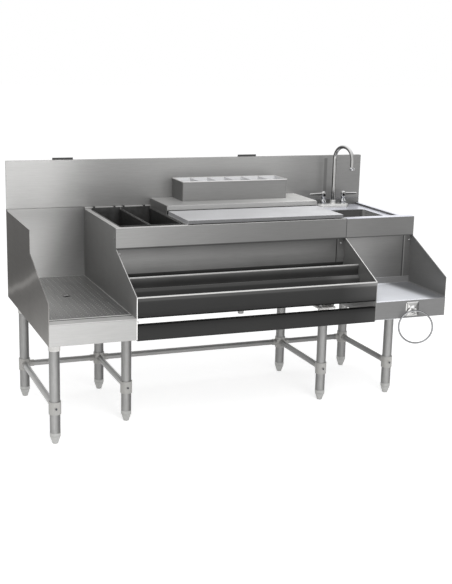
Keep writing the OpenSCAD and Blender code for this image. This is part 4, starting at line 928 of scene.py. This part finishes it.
class STATION_OT_towel_ring(Operator):
    """Model the towel ring's square plate, its post and its eye"""
    bl_idname = "station.towel_ring"
    bl_label = "Model the towel ring's bracket"

    def execute(self, context):
        low, high, middle = corners("towel_ring_bracket")
        thick, corner, post_sunk = 0.0025, 0.004, 0.004
        eye_y, eye_half, eye_turn = low.y + 0.0098, 0.0065, math.radians(-28.0)
        plate = cut_block("ring_plate", (low.x, high.y - thick, low.z), high, "Y", corner, 4)
        pick_faces(plate, lambda place, normal: normal.y < -SQUARELY)
        for share, step in ((0.96, 0.0012), (0.8, 0.0024), (0.5, 0.0016)):
            bpy.ops.mesh.extrude_region_move(TRANSFORM_OT_translate={"value": (0, -step, 0)})
            bpy.ops.transform.resize(value=(share, 1, share), center_override=middle)
        bpy.ops.object.mode_set(mode="OBJECT")
        post = turned("ring_post", (middle.x, high.y - post_sunk, middle.z), "Y",
                      [(0, 17), (2, 17), (3.4, 15.6), (7, 12.6), (12, 10.6), (19, 9.4), (23, 9),
                       (26, 9.4), (29, 8.6), (30, 6)], 36)
        eye = turned("ring_eye", (-eye_half, 0, 0), "X",
                     [(0, 4.6), (0, 7.4), (1.4, 8.8), (11.6, 8.8), (13, 7.4), (13, 4.6), (0, 4.6)],
                     32, hollow=True)
        eye.data.transform(Matrix.Translation((middle.x, eye_y, middle.z))
                           @ Matrix.Rotation(eye_turn, 4, "Z"))
        plate = joined(plate, post, eye)
        # Ring plate, post and eye: painted reflection bands, a painted highlight on faces turned up
        # and painted shade on faces turned down
        metal = round_metal("plate_chrome", [(0.0, 250), (0.38, 230), (0.47, 70), (0.56, 150),
                                             (0.63, 240), (0.74, 60), (1.0, 60)],
                            faces=((UP, 255, 0.35, 0.7), ((0, 0, -1), 60, 0.4, 0.8)))
        settled(plate, metal, "station")
        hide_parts("towel_ring_bracket")
        # Towel ring: the painted reflection bands at half brightness
        dress(chrome_plate("ring_chrome", 0.5), "towel_ring")
        return {"FINISHED"}


def turned_back(profile):
    """Profile of a piece that points the other way"""
    return [(-far, radius) for far, radius in profile]


class STATION_OT_fasteners(Operator):
    """Model the panel screws, the clamps' set screws and the sink strainer"""
    bl_idname = "station.fasteners"
    bl_label = "Model screws and strainer"

    def execute(self, context):
        steel = plain_finish("screw_steel", (0.5, 0.5, 0.5), rough=(0.2, 0.35), metallic=0.8)
        head = [(0, 4), (0.7, 4), (1.4, 3.4), (1.9, 2.2), (2, 1.4), (1.3, 0.7), (1.2, 0.4)]
        screw_height, front_row = 0.003, -0.1
        for place, (low, high) in enumerate(lumps("panel_screws")):
            middle = (low + high) / 2
            if high.x - low.x < screw_height:
                screw = turned(f"panel_screw_{place}", (high.x, middle.y, middle.z), "X",
                               turned_back(head), 24)
            else:
                screw = turned(f"panel_screw_{place}", (middle.x, high.y, middle.z), "Y", head, 24)
            settled(screw, steel, "station")
            if not place:
                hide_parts("panel_screws")
        socket = [(0, 4), (2.4, 4), (3, 3.4), (3, 2.1), (1.2, 2), (1.1, 0.5)]
        dark = plain_finish("set_screw_steel", (0.09, 0.09, 0.1), rough=(0.3, 0.45), metallic=0.7)
        for place, (low, high) in enumerate(lumps("clamp_screws")):
            middle = (low + high) / 2
            front = middle.y < front_row
            near = high.y if front else low.y
            profile = socket if front else turned_back(socket)
            screw = turned(f"set_screw_{place}", (middle.x, near, middle.z), "Y", profile, 24)
            settled(screw, dark, "station")
            if not place:
                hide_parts("clamp_screws")
        _, high, middle = corners("sink_drain")
        basket = turned("sink_strainer", (middle.x, middle.y, high.z), "Z",
                        [(-7, 20), (-6, 32.4), (-2.5, 32.6), (-2.5, 31), (-5, 29), (-5, 9),
                         (-3, 4), (2, 3.4), (4, 6), (6, 6), (7, 4)], 40)
        settled(basket, strainer_plate("strainer_steel"), "station")
        return {"FINISHED"}


THREAD = [(45 + step * 2, 6 if step % 2 else 5.4) for step in range(1, 20)]


class STATION_OT_feet(Operator):
    """Model the bullet feet with their collars and threaded stems"""
    bl_idname = "station.feet"
    bl_label = "Model the feet"

    def execute(self, context):
        profile = [(0, 10.5), (0.8, 11.6), (3, 12), (10, 14), (20, 17.6), (28, 20), (31.4, 21.2),
                   (32, 20.2), (33, 20.2), (33.6, 21.4), (43.6, 21.4), (44.8, 20.6), (45, 6),
                   *THREAD, (105, 5.4)]
        metal = plain_finish("foot_alloy", (0.44, 0.44, 0.43), rough=(0.28, 0.42), metallic=0.6,
                             marks_per_metre=90.0)
        for number in FEET:
            _, _, middle = corners(f"foot_{number}")
            foot = turned(f"bullet_foot_{number}", (middle.x, middle.y, 0), "Z", profile, 32)
            settled(foot, metal, f"foot_{number}", 30.0)
            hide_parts(f"foot_{number}")
        return {"FINISHED"}


def camera_matrix(stage):
    """Place and turn of the camera from its yaw, pitch and roll"""
    yaw, pitch, roll = stage.camera_yaw, stage.camera_pitch, stage.camera_roll
    forward = Vector((math.sin(yaw) * math.cos(pitch), math.cos(yaw) * math.cos(pitch),
                      -math.sin(pitch)))
    level = Vector((math.cos(yaw), -math.sin(yaw), 0.0))
    up = level.cross(forward)
    right = math.cos(roll) * level + math.sin(roll) * up
    above = math.cos(roll) * up - math.sin(roll) * level
    turn = Matrix((right, above, -forward)).transposed().to_4x4()
    return Matrix.Translation(Vector(stage.camera_place)) @ turn


def direct_rays(tree):
    """1 for camera and glossy rays, and the light path's outputs"""
    path = add_node(tree, "LightPath").outputs
    return sums(tree, "MAXIMUM", path["Is Camera Ray"], path["Is Glossy Ray"]), path


class STATION_OT_stage(Operator):
    """Floor, even white surroundings, three soft lights and the camera"""
    bl_idname = "station.stage"
    bl_label = "Set the stage"

    def execute(self, context):
        stage = context.scene.station_stage
        scene = context.scene
        bpy.ops.object.select_all(action="DESELECT")
        bpy.ops.mesh.primitive_plane_add(size=60.0, location=(0, 0, 0))
        floor = context.object
        floor.name = "studio_floor"
        material, tree, shader, _, _ = new_material("white_floor")
        seen, _ = direct_rays(tree)
        fill(shader, {"Base Color": (0.86, 0.86, 0.86, 1.0), "Roughness": 0.9,
                      "Specular IOR Level": 0.0, "Emission Color": (1.0, 1.0, 1.0, 1.0),
                      "Emission Strength": sums(tree, "MULTIPLY", seen, stage.floor_lift)})
        floor.data.materials.append(material)

        world = bpy.data.worlds.new("even_white")
        world.use_nodes = True
        scene.world = world
        tree = world.node_tree
        seen, path = direct_rays(tree)
        seen = sums(tree, "MAXIMUM", seen, path["Is Transmission Ray"])
        fill(tree.nodes["Background"],
             {"Color": (1.0, 1.0, 1.0, 1.0),
              "Strength": map_range(tree, seen, 0.0, 1.0, stage.sky_strength, 1.0)})

        station_middle = (0, 0, 0.6)
        for name, power, size, spot, target in (
                ("key_light", stage.key_power, 3.0, (-0.8, -3.0, 3.4), station_middle),
                ("front_light", stage.front_power, 2.4, (0.5, -4.8, 1.5), station_middle),
                ("top_light", stage.top_power, 2.0, (0.1, -0.7, 3.2), (0.1, -0.69, 0.6))):
            data = bpy.data.lights.new(name, "AREA")
            data.energy = power
            data.size = size
            lamp = bpy.data.objects.new(name, data)
            scene.collection.objects.link(lamp)
            lamp.visible_glossy = False
            lamp.location = spot
            way = Vector(target) - Vector(spot)
            lamp.rotation_euler = way.to_track_quat("-Z", "Y").to_euler()

        lens = bpy.data.cameras.new("photo_camera")
        lens.sensor_width = 36.0
        lens.lens = stage.focal_length
        lens.clip_end = 100.0
        camera = bpy.data.objects.new("photo_camera", lens)
        scene.collection.objects.link(camera)
        camera.matrix_world = camera_matrix(stage)
        scene.camera = camera
        scene.view_settings.view_transform = "Standard"
        return {"FINISHED"}


class STATION_PT_sidebar(Panel):
    """Lists the station's steps in the 3D view's sidebar"""
    bl_idname = "STATION_PT_sidebar"
    bl_label = "Bar Station"
    bl_space_type = "VIEW_3D"
    bl_region_type = "UI"
    bl_category = "Bar Station"

    def draw(self, context):
        layout = self.layout
        for group in (context.scene.station_finishes, context.scene.station_stage):
            box = layout.box()
            for name in group.__annotations__:
                box.prop(group, name)
        for step in STEPS:
            layout.operator(step.bl_idname)


STEPS = (STATION_OT_sheet_finish, STATION_OT_sink_finish, STATION_OT_lid_finish,
         STATION_OT_rail_finish, STATION_OT_leg_finish, STATION_OT_faucet_body,
         STATION_OT_faucet_levers, STATION_OT_towel_ring, STATION_OT_fasteners, STATION_OT_feet,
         STATION_OT_stage)
CLASSES = (StationFinishes, StationStage, *STEPS, STATION_PT_sidebar)


def register():
    """Adds the classes and the two groups of settings"""
    for item in CLASSES:
        bpy.utils.register_class(item)
    bpy.types.Scene.station_finishes = PointerProperty(type=StationFinishes)
    bpy.types.Scene.station_stage = PointerProperty(type=StationStage)


def unregister():
    """Takes the classes and the two groups of settings away"""
    del bpy.types.Scene.station_stage
    del bpy.types.Scene.station_finishes
    for item in reversed(CLASSES):
        bpy.utils.unregister_class(item)


def main():
    """Runs every step in order"""
    register()
    for step in STEPS:
        group, name = step.bl_idname.split(".")
        getattr(getattr(bpy.ops, group), name)()


if __name__ == "__main__":
    main()
